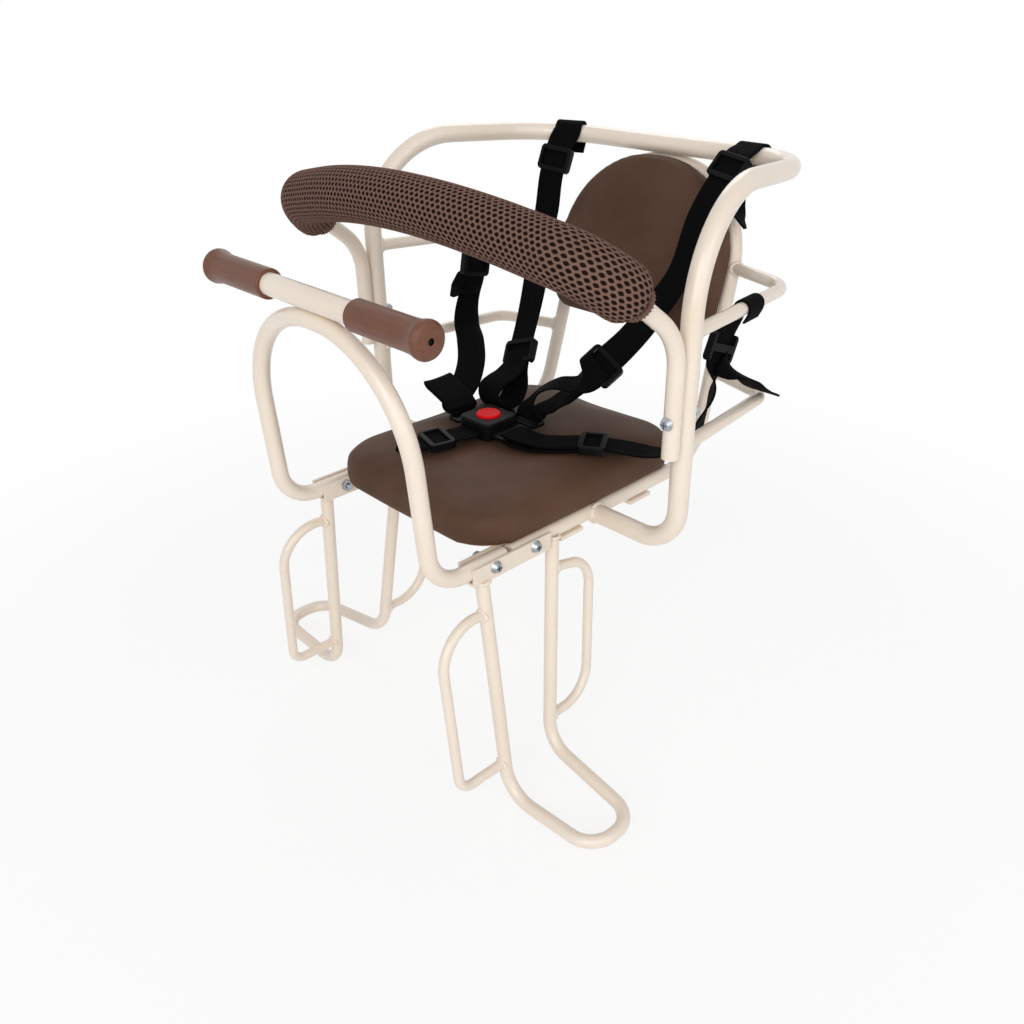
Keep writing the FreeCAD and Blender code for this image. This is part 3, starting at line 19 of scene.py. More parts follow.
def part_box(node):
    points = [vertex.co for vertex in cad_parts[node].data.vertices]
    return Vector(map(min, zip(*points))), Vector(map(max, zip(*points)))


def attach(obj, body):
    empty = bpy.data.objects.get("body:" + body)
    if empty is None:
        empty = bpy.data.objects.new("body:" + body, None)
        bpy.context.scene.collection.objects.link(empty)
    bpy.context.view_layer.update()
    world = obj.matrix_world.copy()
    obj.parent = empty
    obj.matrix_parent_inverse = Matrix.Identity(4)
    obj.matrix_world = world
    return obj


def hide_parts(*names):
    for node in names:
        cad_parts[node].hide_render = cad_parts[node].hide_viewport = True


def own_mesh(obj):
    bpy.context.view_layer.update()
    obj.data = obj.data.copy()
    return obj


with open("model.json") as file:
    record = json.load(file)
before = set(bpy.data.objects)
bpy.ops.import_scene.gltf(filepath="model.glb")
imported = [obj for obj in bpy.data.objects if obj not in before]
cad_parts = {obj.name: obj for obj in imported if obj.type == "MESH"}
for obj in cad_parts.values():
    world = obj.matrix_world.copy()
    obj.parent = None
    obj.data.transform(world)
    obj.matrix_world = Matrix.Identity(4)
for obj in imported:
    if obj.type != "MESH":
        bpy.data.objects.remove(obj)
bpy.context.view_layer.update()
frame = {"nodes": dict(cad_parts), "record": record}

LOG = logging.getLogger("child_bike_seat")
MM = 0.001
SEAT_BODY = "seat"
Array = np.ndarray
Point = tuple[float, float, float]
Row = tuple[float, float, float, float, float, float]
Inputs = dict[str | int, object]
MIRROR = np.array([-1.0, 1.0, 1.0])
WHITE = (1.0, 1.0, 1.0, 1.0)
ARC_SAMPLES = 40
LEAST_SAMPLES = 8
HANDLE_Y = -188.0
HANDLE_Z = 197.05


class Side(Enum):
    """The child's own left and right, with the sign of X there."""

    LEFT = 1
    RIGHT = -1


class Slot(Enum):
    """Material slots of the record that pieces take their finish from."""

    PAINT = "cream_paint"
    ZINC = "zinc_plated_steel"
    WOOD = "plywood"
    VINYL = "brown_upholstery"
    MESH = "brown_mesh"
    GRIP = "brown_grip"
    WEBBING = "black_webbing"
    PLASTIC = "black_plastic"
    BUTTON = "red_button"


class Held(Enum):
    """How a length of webbing is held."""

    HUNG = "hung"
    LAID = "laid"
    FOLDED = "folded"


def linear(code: str) -> tuple[float, float, float, float]:
    """Turn an sRGB hex colour into linear RGBA.

    Args:
        code: Colour such as "#EFE6DA".

    Returns:
        Linear red, green, blue and an alpha of 1.
    """
    parts = [int(code[i:i + 2], 16) / 255 for i in (1, 3, 5)]
    curve = [p / 12.92 if p <= 0.04045 else ((p + 0.055) / 1.055) ** 2.4 for p in parts]
    return (*curve, 1.0)


def per_mm(size: float) -> float:
    """Give the texture scale, in Object coordinates, of a pattern of this size in millimetres."""
    return 1.0 / (size * MM)


def join(tree: bpy.types.NodeTree, node: bpy.types.Node, inputs: Inputs) -> None:
    """Set a node's inputs, or link them.

    Args:
        tree: Node tree of the node.
        node: The node.
        inputs: Socket name or number to a value, an output socket, or a node for its first output in use.
    """
    for key, value in inputs.items():
        if isinstance(value, bpy.types.Node):
            value = next(socket for socket in value.outputs if socket.enabled)
        if isinstance(value, bpy.types.NodeSocket):
            tree.links.new(value, node.inputs[key])
        else:
            node.inputs[key].default_value = value


def add_node(tree: bpy.types.NodeTree, kind: str, inputs: Inputs | None = None,
             **settings: str | int) -> bpy.types.Node:
    """Add a shader node with its settings, values and links.

    Args:
        tree: Node tree to add to.
        kind: Node type name, without its leading "ShaderNode".
        inputs: Inputs, as join takes them.
        settings: Plain attributes of the node.

    Returns:
        The new node.
    """
    node = tree.nodes.new("ShaderNode" + kind)
    for name, value in settings.items():
        setattr(node, name, value)
    join(tree, node, inputs or {})
    return node


def shown_rays(tree: bpy.types.NodeTree) -> bpy.types.Node:
    """Tell camera, mirror and glass rays, with a value of 1, from the rays that only light the set.

    Args:
        tree: Node tree to add to.

    Returns:
        The node with the value.
    """
    ray = add_node(tree, "LightPath").outputs
    seen = add_node(tree, "Math", {0: ray["Is Camera Ray"], 1: ray["Is Glossy Ray"]}, operation="MAXIMUM")
    return add_node(tree, "Math", {0: seen, 1: ray["Is Transmission Ray"]}, operation="MAXIMUM")


@dataclass(frozen=True)
class Finish:
    """A surface finish; each kind draws its own nodes on a Principled shader."""

    name: str
    colour: str
    roughness: float
    gloss: float = 0.5

    def material(self) -> bpy.types.Material:
        """Build the finish once and return it.

        Returns:
            The material.
        """
        found = bpy.data.materials.get(self.name)
        if found:
            return found
        made = bpy.data.materials.new(self.name)
        made.use_nodes = True
        tree = made.node_tree
        plain = {
            "Base Color": linear(self.colour), "Roughness": self.roughness, "Specular IOR Level": self.gloss}
        join(tree, tree.nodes["Principled BSDF"], plain | self.draw(tree))
        return made

    def draw(self, tree: bpy.types.NodeTree) -> Inputs:
        """Add the nodes of this finish.

        Args:
            tree: The material's node tree.

        Returns:
            Inputs of the shader.
        """
        return {}


@dataclass(frozen=True)
class PowderCoat(Finish):
    """Polyester powder coat, sprayed and baked on steel: an even satin skin with a faint orange peel."""

    thin_colour: str = "#E2D1BE"
    peel: float = 1.6
    drift: float = 70.0
    coat: float = 0.5
    coat_roughness: float = 0.12

    def draw(self, tree: bpy.types.NodeTree) -> Inputs:
        """Draw a slow drift of tone and the fine peel of the coat.

        Args:
            tree: The material's node tree.

        Returns:
            Inputs of the shader.
        """
        place = add_node(tree, "TexCoord").outputs["Object"]
        drift = add_node(tree, "TexNoise", {"Vector": place, "Scale": per_mm(self.drift), "Detail": 3.0})
        tone = add_node(tree, "Mix", {
            0: drift, 6: linear(self.colour), 7: linear(self.thin_colour)}, data_type="RGBA")
        peel = add_node(tree, "TexNoise", {"Vector": place, "Scale": per_mm(self.peel), "Detail": 2.0})
        bump = add_node(tree, "Bump", {"Height": peel, "Strength": 0.12, "Distance": 0.12 * MM})
        shine = add_node(tree, "MapRange", {
            "Value": drift, "To Min": self.roughness - 0.05, "To Max": self.roughness + 0.07})
        return {"Base Color": tone, "Normal": bump, "Roughness": shine, "Coat Weight": self.coat,
                "Coat Roughness": self.coat_roughness}


@dataclass(frozen=True)
class ZincPlate(Finish):
    """Bright zinc on steel, barrel plated: bluish grey metal, cloudy in patches."""

    cloudy_colour: str = "#8F949B"
    cloud: float = 2.5

    def draw(self, tree: bpy.types.NodeTree) -> Inputs:
        """Draw the clouds as tone and roughness.

        Args:
            tree: The material's node tree.

        Returns:
            Inputs of the shader.
        """
        place = add_node(tree, "TexCoord").outputs["Object"]
        cloud = add_node(tree, "TexNoise", {"Vector": place, "Scale": per_mm(self.cloud), "Detail": 6.0})
        tone = add_node(tree, "Mix", {
            0: cloud, 6: linear(self.colour), 7: linear(self.cloudy_colour)}, data_type="RGBA")
        shine = add_node(tree, "MapRange", {
            "Value": cloud, "To Min": self.roughness - 0.08, "To Max": self.roughness + 0.15})
        return {"Base Color": tone, "Roughness": shine, "Metallic": 1.0}


@dataclass(frozen=True)
class Plywood(Finish):
    """Rotary cut poplar ply, sawn and left bare: long pale grain up the boards with darker late wood."""

    late_wood: str = "#AC8657"
    grain: float = 9.0
    stretch: Point = (1.0, 0.1, 0.1)

    def draw(self, tree: bpy.types.NodeTree) -> Inputs:
        """Draw bands of late wood bent by a slow noise.

        Args:
            tree: The material's node tree.

        Returns:
            Inputs of the shader.
        """
        place = add_node(tree, "TexCoord").outputs["Object"]
        stretch = add_node(tree, "Mapping", {"Vector": place, "Scale": self.stretch})
        bands = add_node(tree, "TexWave", {
            "Vector": stretch, "Scale": per_mm(self.grain) / (2 * math.pi), "Distortion": 3.5, "Detail": 4.0,
            "Detail Scale": 2.0}).outputs["Fac"]
        tone = add_node(tree, "Mix", {
            0: bands, 6: linear(self.colour), 7: linear(self.late_wood)}, data_type="RGBA")
        bump = add_node(tree, "Bump", {"Height": bands, "Strength": 0.15, "Distance": 0.2 * MM})
        return {"Base Color": tone, "Normal": bump}


@dataclass(frozen=True)
class Vinyl(Finish):
    """Soft PVC leathercloth, embossed with a fine pebble and drawn over foam: satin, paler where rubbed."""

    rubbed: str = "#5E4537"
    rub: float = 60.0
    pebble: float = 1.3
    pull: float = 30.0

    def draw(self, tree: bpy.types.NodeTree) -> Inputs:
        """Draw the pebble as cells, soft pulls in the cloth and rubbed patches.

        Args:
            tree: The material's node tree.

        Returns:
            Inputs of the shader.
        """
        place = add_node(tree, "TexCoord").outputs["Object"]
        rubbed = add_node(tree, "TexNoise", {"Vector": place, "Scale": per_mm(self.rub), "Detail": 5.0})
        share = add_node(tree, "MapRange", {"Value": rubbed, "From Min": 0.35, "From Max": 0.75})
        tone = add_node(tree, "Mix", {
            0: share, 6: linear(self.colour), 7: linear(self.rubbed)}, data_type="RGBA")
        cells = add_node(tree, "TexVoronoi", {
            "Vector": place, "Scale": per_mm(self.pebble)}, feature="SMOOTH_F1")
        pull = add_node(tree, "TexNoise", {
            "Vector": place, "Scale": per_mm(self.pull), "Detail": 2.0, "Distortion": 0.6})
        soft = add_node(tree, "Bump", {"Height": pull, "Strength": 0.1, "Distance": 0.8 * MM})
        fine = add_node(tree, "Bump", {
            "Height": cells, "Strength": 0.2, "Distance": 0.2 * MM, "Normal": soft})
        shine = add_node(tree, "MapRange", {
            "Value": rubbed, "To Min": self.roughness + 0.05, "To Max": self.roughness - 0.05})
        return {"Base Color": tone, "Normal": fine, "Roughness": shine}


@dataclass(frozen=True)
class AirMesh(Finish):
    """Warp-knitted polyester spacer: pale yarn round staggered long holes that show the dark layer below,
    with painted shade inside the holes.

    The UV map is in millimetres, U along the sleeve and V round it.
    """

    twist_colour: str = "#644B41"
    hole_layer_and_shade_colour: str = "#180B08"
    pitch_along: float = 4.5
    pitch_round: float = 6.88
    squeeze: float = 0.42
    edge: tuple[float, float] = (0.58, 0.9)

    def draw(self, tree: bpy.types.NodeTree) -> Inputs:
        """Draw holes where the size of s cos(2 pi u / a) + cos(2 pi v / b) is large, and ribbed yarn between.

        Args:
            tree: The material's node tree.

        Returns:
            Inputs of the shader.
        """
        place = add_node(tree, "UVMap", uv_map="UVMap")
        axes = add_node(tree, "SeparateXYZ", {"Vector": place}).outputs
        waves = []
        for axis, pitch, share in (("X", self.pitch_along, self.squeeze), ("Y", self.pitch_round, 1.0)):
            turn = add_node(tree, "Math", {0: axes[axis], 1: 2 * math.pi / pitch}, operation="MULTIPLY")
            wave = add_node(tree, "Math", {0: turn}, operation="COSINE")
            waves.append(add_node(tree, "Math", {0: wave, 1: share}, operation="MULTIPLY"))
        both = add_node(tree, "Math", {0: waves[0], 1: waves[1]}, operation="ADD")
        size = add_node(tree, "Math", {0: both}, operation="ABSOLUTE")
        hole = add_node(tree, "MapRange", {"Value": size, "From Min": self.edge[0], "From Max": self.edge[1]},
                        interpolation_type="SMOOTHSTEP")
        ribs = add_node(tree, "TexWave", {"Vector": place, "Scale": 1.6, "Distortion": 2.0},
                        bands_direction="DIAGONAL").outputs["Fac"]
        yarn = add_node(tree, "Mix", {
            0: ribs, 6: linear(self.colour), 7: linear(self.twist_colour)}, data_type="RGBA")
        # The holes are painted near black: the dark layer below together with painted shade inside them.
        tone = add_node(tree, "Mix", {0: hole, 6: yarn, 7: linear(self.hole_layer_and_shade_colour)}, data_type="RGBA")
        depth = add_node(tree, "Math", {0: 1.0, 1: hole}, operation="SUBTRACT")
        bump = add_node(tree, "Bump", {"Height": depth, "Strength": 0.5, "Distance": 0.6 * MM})
        twist = add_node(tree, "Bump", {
            "Height": ribs, "Strength": 0.3, "Distance": 0.25 * MM, "Normal": bump})
        return {"Base Color": tone, "Normal": twist}


@dataclass(frozen=True)
class DippedPvc(Finish):
    """Plasticised PVC, dip moulded on a bar: a soft gloss, drawn out in faint streaks along the grip."""

    streak_colour: str = "#5C392B"
    streak: float = 3.0
    stretch: Point = (0.06, 1.0, 1.0)
    pore: float = 0.7
    vent_painted_shade_colour: str = "#0E0705"
    vent_shade: float = 2.2

    def draw(self, tree: bpy.types.NodeTree) -> Inputs:
        """Draw streaks along X, fine pores, and a painted shade inside the vent hole.

        Args:
            tree: The material's node tree.

        Returns:
            Inputs of the shader.
        """
        place = add_node(tree, "TexCoord").outputs["Object"]
        drawn = add_node(tree, "Mapping", {"Vector": place, "Scale": self.stretch})
        streaks = add_node(tree, "TexNoise", {"Vector": drawn, "Scale": per_mm(self.streak), "Detail": 5.0})
        tone = add_node(tree, "Mix", {
            0: streaks, 6: linear(self.colour), 7: linear(self.streak_colour)}, data_type="RGBA")
        # Painted shade: the colour turns near black within vent_shade of the handle's axis, for the dark
        # inside the vent hole.
        spoke = add_node(tree, "Mapping", {
            "Vector": place, "Location": (0.0, -HANDLE_Y * MM, -HANDLE_Z * MM)})
        flat = add_node(tree, "VectorMath", {0: spoke, 1: (0.0, 1.0, 1.0)}, operation="MULTIPLY")
        reach = add_node(tree, "VectorMath", {0: flat}, operation="LENGTH")
        inside = add_node(tree, "Math", {0: reach, 1: self.vent_shade * MM}, operation="LESS_THAN")
        shade = add_node(tree, "Mix", {0: inside, 6: tone, 7: linear(self.vent_painted_shade_colour)}, data_type="RGBA")
        shine = add_node(tree, "MapRange", {
            "Value": streaks, "To Min": self.roughness - 0.08, "To Max": self.roughness + 0.12})
        pores = add_node(tree, "TexNoise", {"Vector": place, "Scale": per_mm(self.pore), "Detail": 3.0})
        grain = add_node(tree, "Bump", {"Height": streaks, "Strength": 0.12, "Distance": 0.3 * MM})
        bump = add_node(tree, "Bump", {
            "Height": pores, "Strength": 0.12, "Distance": 0.12 * MM, "Normal": grain})
        return {"Base Color": shade, "Roughness": shine, "Normal": bump}


@dataclass(frozen=True)
class NylonWebbing(Finish):
    """Nylon webbing, woven in a herringbone: ribs that meet along the strap, dull with a faint yarn sheen
    painted lighter on the rib crests.

    The UV map is in millimetres, U across the strap and V along it.  The ribs are drawn about twice as
    coarse as real ones, so that they show.
    """

    rib: float = 1.8
    chevron: float = 6.2
    rib_wear_and_sheen_colour: str = "#121213"

    def draw(self, tree: bpy.types.NodeTree) -> Inputs:
        """Draw ribs on v + |u|, which gives the herringbone, with the rib crests painted lighter, for sheen
        and wear, unevenly along the strap.

        Args:
            tree: The material's node tree.

        Returns:
            Inputs of the shader.
        """
        place = add_node(tree, "UVMap", uv_map="UVMap")
        axes = add_node(tree, "SeparateXYZ", {"Vector": place}).outputs
        fold = add_node(tree, "Math", {0: axes["X"], 1: self.chevron}, operation="PINGPONG")
        slant = add_node(tree, "Math", {0: axes["Y"], 1: fold}, operation="ADD")
        turn = add_node(tree, "Math", {0: slant, 1: 2 * math.pi / self.rib}, operation="MULTIPLY")
        rib = add_node(tree, "Math", {0: turn}, operation="SINE")
        height = add_node(tree, "MapRange", {"Value": rib, "From Min": -1.0, "From Max": 1.0})
        # Lighter rib crests: a painted sheen together with wear, uneven along the strap.
        wear_and_sheen_patches = add_node(tree, "TexNoise", {"Vector": place, "Scale": 0.25, "Detail": 6.0})
        rib_wear_and_sheen = add_node(tree, "Math", {0: height, 1: wear_and_sheen_patches}, operation="MULTIPLY")
        tone = add_node(tree, "Mix", {
            0: rib_wear_and_sheen, 6: linear(self.colour), 7: linear(self.rib_wear_and_sheen_colour)}, data_type="RGBA")
        bump = add_node(tree, "Bump", {"Height": height, "Strength": 0.45, "Distance": 0.3 * MM})
        return {"Base Color": tone, "Normal": bump}


@dataclass(frozen=True)
class MouldedAcetal(Finish):
    """Black acetal, injection moulded in a spark-eroded tool: a fine even texture, brighter on edges."""

    flow_colour: str = "#121213"
    flow: float = 12.0
    grit: float = 0.5
    edge: float = 0.6

    def draw(self, tree: bpy.types.NodeTree) -> Inputs:
        """Draw the tool's grit and the flow of the melt, and round the sharp edges for the light.

        Args:
            tree: The material's node tree.

        Returns:
            Inputs of the shader.
        """
        place = add_node(tree, "TexCoord").outputs["Object"]
        grit = add_node(tree, "TexNoise", {"Vector": place, "Scale": per_mm(self.grit), "Detail": 2.0})
        edge = add_node(tree, "Bevel", {"Radius": self.edge * MM}, samples=6)
        bump = add_node(tree, "Bump", {"Height": grit, "Strength": 0.2, "Distance": 0.1 * MM, "Normal": edge})
        flow = add_node(tree, "TexNoise", {"Vector": place, "Scale": per_mm(self.flow), "Detail": 3.0})
        tone = add_node(tree, "Mix", {
            0: flow, 6: linear(self.colour), 7: linear(self.flow_colour)}, data_type="RGBA")
        return {"Base Color": tone, "Normal": bump}


@dataclass(frozen=True)
class GlossAbs(Finish):
    """Red ABS, injection moulded in a polished tool: deep even colour under a clear gloss."""

    deep_colour: str = "#D60712"
    mark: float = 3.0
    edge: float = 0.5

    def draw(self, tree: bpy.types.NodeTree) -> Inputs:
        """Draw faint handling marks in the gloss and a soft edge.

        Args:
            tree: The material's node tree.

        Returns:
            Inputs of the shader.
        """
        place = add_node(tree, "TexCoord").outputs["Object"]
        marks = add_node(tree, "TexNoise", {"Vector": place, "Scale": per_mm(self.mark), "Detail": 5.0})
        shine = add_node(tree, "MapRange", {
            "Value": marks, "To Min": self.roughness - 0.05, "To Max": self.roughness + 0.15})
        tone = add_node(tree, "Mix", {
            0: marks, 6: linear(self.colour), 7: linear(self.deep_colour)}, data_type="RGBA")
        edge = add_node(tree, "Bevel", {"Radius": self.edge * MM}, samples=6)
        return {"Base Color": tone, "Roughness": shine, "Normal": edge}


@dataclass(frozen=True)
class PaleFloor(Finish):
    """Matt white studio paper: lit by the lamps, and near white to the camera with the soft shadow kept."""

    near_glow: float = 0.82
    near: float = 350.0
    far: float = 900.0

    def draw(self, tree: bpy.types.NodeTree) -> Inputs:
        """Mix a plain white glow in for camera, mirror and glass rays, all of it far from the object.

        Args:
            tree: The material's node tree.

        Returns:
            No inputs, as the glow joins the shader's own light at the output.
        """
        place = add_node(tree, "TexCoord").outputs["Object"]
        flat = add_node(tree, "VectorMath", {0: place, 1: (1.0, 1.0, 0.0)}, operation="MULTIPLY")
        reach = add_node(tree, "VectorMath", {0: flat}, operation="LENGTH")
        glowing = add_node(tree, "MapRange", {
            "Value": reach, "From Min": self.near * MM, "From Max": self.far * MM, "To Min": self.near_glow,
            "To Max": 1.0}, interpolation_type="SMOOTHSTEP")
        share = add_node(tree, "Math", {0: shown_rays(tree), 1: glowing}, operation="MULTIPLY")
        glow = add_node(tree, "Emission", {"Color": WHITE, "Strength": 1.0})
        mix = add_node(tree, "MixShader", {0: share, 1: tree.nodes["Principled BSDF"], 2: glow})
        join(tree, tree.nodes["Material Output"], {"Surface": mix})
        return {}


FINISHES: dict[Slot, Finish] = {
    Slot.PAINT: PowderCoat("cream_powder_coat_baked", "#EADFD2", 0.34, 0.45),
    Slot.ZINC: ZincPlate("bright_zinc_barrel_plated", "#C4C8CE", 0.3),
    Slot.WOOD: Plywood("poplar_plywood_sawn", "#C9A678", 0.7, 0.2),
    Slot.VINYL: Vinyl("brown_pvc_leathercloth_embossed", "#4E382B", 0.56, 0.12),
    Slot.MESH: AirMesh("brown_spacer_mesh_knitted", "#82655A", 0.8, 0.1),
    Slot.GRIP: DippedPvc("brown_pvc_dip_moulded", "#784D3B", 0.36, 0.3),
    Slot.WEBBING: NylonWebbing("black_nylon_webbing_woven", "#060607", 0.75, 0.03),
    Slot.PLASTIC: MouldedAcetal("black_acetal_moulded", "#060607", 0.4, 0.07),
    Slot.BUTTON: GlossAbs("red_abs_moulded", "#F00512", 0.32, 0.1),
}


def grid_object(name: str, points: Array, uv: Array | None = None, wrap_rows: bool = False,
                wrap_columns: bool = False) -> bpy.types.Object:
    """Build an object from grids of points, with smooth quads between neighbours.

    Args:
        name: Name of the object.
        points: Grids by rows by columns by 3, or one such grid, in millimetres.
        uv: The same with 2 in place of 3, or None.
        wrap_rows: Whether the last row joins the first.
        wrap_columns: Whether the last column joins the first.

    Returns:
        The object, at the origin.
    """
    points = points.reshape(-1, *points.shape[-3:])
    index = np.arange(points.size // 3).reshape(points.shape[:3])
    if wrap_rows:
        index = np.concatenate([index, index[:, :1]], axis=1)
    if wrap_columns:
        index = np.concatenate([index, index[:, :, :1]], axis=2)
    quads = np.stack([
        index[:, :-1, :-1], index[:, :-1, 1:], index[:, 1:, 1:], index[:, 1:, :-1]], axis=-1).reshape(-1, 4)
    mesh = bpy.data.meshes.new(name)
    mesh.vertices.add(points.size // 3)
    mesh.vertices.foreach_set("co", (points * MM).astype(np.float32).ravel())
    mesh.loops.add(quads.size)
    mesh.loops.foreach_set("vertex_index", quads.ravel().astype(np.int32))
    mesh.polygons.add(len(quads))
    mesh.polygons.foreach_set("loop_start", np.arange(0, quads.size, 4, dtype=np.int32))
    mesh.update(calc_edges=True)
    if uv is not None:
        layer = mesh.uv_layers.new(name="UVMap")
        layer.data.foreach_set("uv", uv.reshape(-1, 2)[quads.ravel()].astype(np.float32).ravel())
    mesh.polygons.foreach_set("use_smooth", np.ones(len(quads), dtype=bool))
    made = bpy.data.objects.new(name, mesh)
    bpy.context.scene.collection.objects.link(made)
    return made


def weld(piece: bpy.types.Object, distance: float = 0.01) -> None:
    """Close poles and seams and turn every face outward.

    Args:
        piece: Piece whose rows or columns meet.
        distance: Points closer than this many millimetres are joined.
    """
    work = bmesh.new()
    work.from_mesh(piece.data)
    bmesh.ops.remove_doubles(work, verts=work.verts, dist=distance * MM)
    bmesh.ops.recalc_face_normals(work, faces=work.faces)
    work.to_mesh(piece.data)
    work.free()


def unit(vectors: Array) -> Array:
    """Scale each vector to a length of 1."""
    return vectors / np.linalg.norm(vectors, axis=-1, keepdims=True)


def running_length(points: Array) -> Array:
    """Give the length of a line of points from its start to each of them."""
    return np.concatenate([[0.0], np.cumsum(np.linalg.norm(np.diff(points, axis=0), axis=1))])


def circle(count: int) -> Array:
    """Give this many angles, evenly spaced round a full turn."""
    return np.linspace(0.0, 2 * math.pi, count, endpoint=False)


def capped(points: Array, path: Array) -> Array:
    """Close a grid that was carried along a path with a row of poles at each end."""
    poles = np.broadcast_to(path[[0, -1], None], (2, *points.shape[1:]))
    return np.concatenate([poles[:1], points, poles[1:]])


def mirrored(points: tuple[Point, ...]) -> tuple[Point, ...]:
    """Give the same points on the other side, in the same order."""
    return tuple((-x, y, z) for x, y, z in points)


def dress(piece: bpy.types.Object, slot: Slot, *nodes: str) -> None:
    """Give a new piece its finish, its body and the CAD nodes that it stands for.

    Args:
        piece: The new piece.
        slot: Material slot that it takes its finish from.
        nodes: CAD nodes that it replaces.
    """
    piece.data.materials.clear()
    piece.data.materials.append(FINISHES[slot].material())
    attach(piece, SEAT_BODY)
    if nodes:
        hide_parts(*nodes)
    LOG.info("%s: %d faces", piece.name, len(piece.data.polygons))


def spline(rows: Array, step: float) -> Array:
    """Carry a smooth curve through rows of values, each span a Catmull-Rom cubic.

    The cubic of a span is h00 p0 + h10 m0 + h01 p1 + h11 m1, with each slope m that of the curve through
    the neighbours on both sides.

    Args:
        rows: Control values, one row each; the first three columns are a point in millimetres.
        step: Rough spacing of the samples in millimetres.

    Returns:
        The sampled rows.
    """
    knots = running_length(rows[:, :3])
    run = np.diff(knots)
    slopes = np.gradient(rows, knots, axis=0)
    place = np.linspace(0.0, knots[-1], max(int(knots[-1] / step), LEAST_SAMPLES))
    span = np.clip(np.searchsorted(knots, place, side="right") - 1, 0, len(run) - 1)
    length = run[span][:, None]
    t = ((place - knots[span]) / run[span])[:, None]
    h00 = 2 * t ** 3 - 3 * t ** 2 + 1
    h10 = t ** 3 - 2 * t ** 2 + t
    h01 = 3 * t ** 2 - 2 * t ** 3
    h11 = t ** 3 - t ** 2
    start = h00 * rows[span] + h10 * length * slopes[span]
    return start + h01 * rows[span + 1] + h11 * length * slopes[span + 1]


def bent_path(corners: list[Point], bends: tuple[float, ...], step: float) -> Array:
    """Follow straight runs joined by tangent arcs.

    An arc at a corner starts and ends r / tan(half the corner's angle) from it, and its points are
    centre - r (inward cos a - across sin a).

    Args:
        corners: Ends and corners of the path in millimetres.
        bends: Bend radius at each inner corner.
        step: Rough spacing of the samples.

    Returns:
        Points along the path, evenly spaced.
    """
    spots = [np.array(c, float) for c in corners]
    pieces = [spots[0][None]]
    for before, corner, after, radius in zip(spots, spots[1:], spots[2:], bends):
        back = unit(before - corner)
        on = unit(after - corner)
        half = math.acos(float(np.clip(back @ on, -1, 1))) / 2
        inward = unit(back + on)
        across = unit(on - back)
        centre = corner + inward * radius / math.sin(half)
        sweep = np.linspace(half - math.pi / 2, math.pi / 2 - half, ARC_SAMPLES)[:, None]
        pieces.append(centre - radius * (inward * np.cos(sweep) - across * np.sin(sweep)))
    pieces.append(spots[-1][None])
    rough = np.concatenate(pieces)
    far = running_length(rough)
    even = np.linspace(0.0, far[-1], max(int(far[-1] / step), 2))
    return np.stack([np.interp(even, far, rough[:, k]) for k in range(3)], axis=-1)


@dataclass
class Tubework:
    """The CAD nodes whose shape is right: painted tubes, boards, fasteners and moulded fittings."""

    def build(self) -> None:
        """Give every CAD node the finish of its slot."""
        slots = {part["node"]: Slot(part["material_slot"]) for part in frame["record"]["subparts"]}
        for name, node in frame["nodes"].items():
            node.data.materials.clear()
            node.data.materials.append(FINISHES[slots[name]].material())
        LOG.info("dressed %d CAD nodes", len(frame["nodes"]))


@dataclass(frozen=True)
class Joint:
    """The end of a small tube: a point on its axis, the way it leaves the weld, and its radius."""

    start: Point
    way: Point
    small: float

    def lines(self, turn: Array) -> tuple[Array, Array]:
        """Give points round the tube's skin at its start, and the tube's own direction.

        Args:
            turn: Angles round the tube.

        Returns:
            Angles by 3, and a unit vector.
        """
        way = unit(np.array(self.way, float))
        u = unit(np.cross(way, np.eye(3)[np.argmin(np.abs(way))]))
        v = np.cross(way, u)
        return self.start + self.small * (np.cos(turn)[:, None] * u + np.sin(turn)[:, None] * v), way


@dataclass(frozen=True)
class TubeJoint(Joint):
    """A tube welded to the side of another, whose axis passes a point along a direction."""

    big: float
    axis_at: Point
    axis_way: Point
    least: float = 0.0

    def ring(self, turn: Array) -> Array:
        """Run each line on the small tube's skin until it is the big radius away from the big tube's axis.

        The run t solves |p + t w| = big, with p and w the line's start and way square to that axis.

        Args:
            turn: Angles round the small tube.

        Returns:
            Angles by 3.
        """
        skin, way = self.lines(turn)
        axis = unit(np.array(self.axis_way, float))
        p = skin - np.array(self.axis_at)
        p = p - (p @ axis)[:, None] * axis
        w = way - (way @ axis) * axis
        half = p @ w
        inside = np.maximum(half ** 2 - (w @ w) * ((p * p).sum(axis=1) - self.big ** 2), 0.0)
        run = np.maximum((np.sqrt(inside) - half) / (w @ w), self.least)
        return skin + run[:, None] * way


@dataclass(frozen=True)
class FlatJoint(Joint):
    """A tube welded to the underside of a level plate."""

    height: float

    def ring(self, turn: Array) -> Array:
        """Run each line on the tube's skin to the plate's height.

        Args:
            turn: Angles round the tube.

        Returns:
            Angles by 3.
        """
        skin, way = self.lines(turn)
        return skin + ((self.height - skin[:, 2]) / way[2])[:, None] * way


FRAME_RADIUS = 7.5
RAIL_RADIUS = 6.0
ARM_RADIUS = 5.0
LEG_RADIUS = 5.3
GUARD_RADIUS = 4.0
LEG_FRONT: Point = (20.0, 4.0, -192.62)
LEG_REAR: Point = (17.0, -19.0, -179.0)
# Points on the big tubes' axes, with their directions
UPRIGHT: tuple[Point, Point] = ((172.0, -11.0, 0.0), (0.0, 0.0, 1.0))
ARCH: tuple[Point, Point] = ((91.0, 119.0, 9.0), (-8.0, 61.3, 229.86))
RAIL: tuple[Point, Point] = ((91.0, 0.0, 9.0), (0.0, 1.0, 0.0))
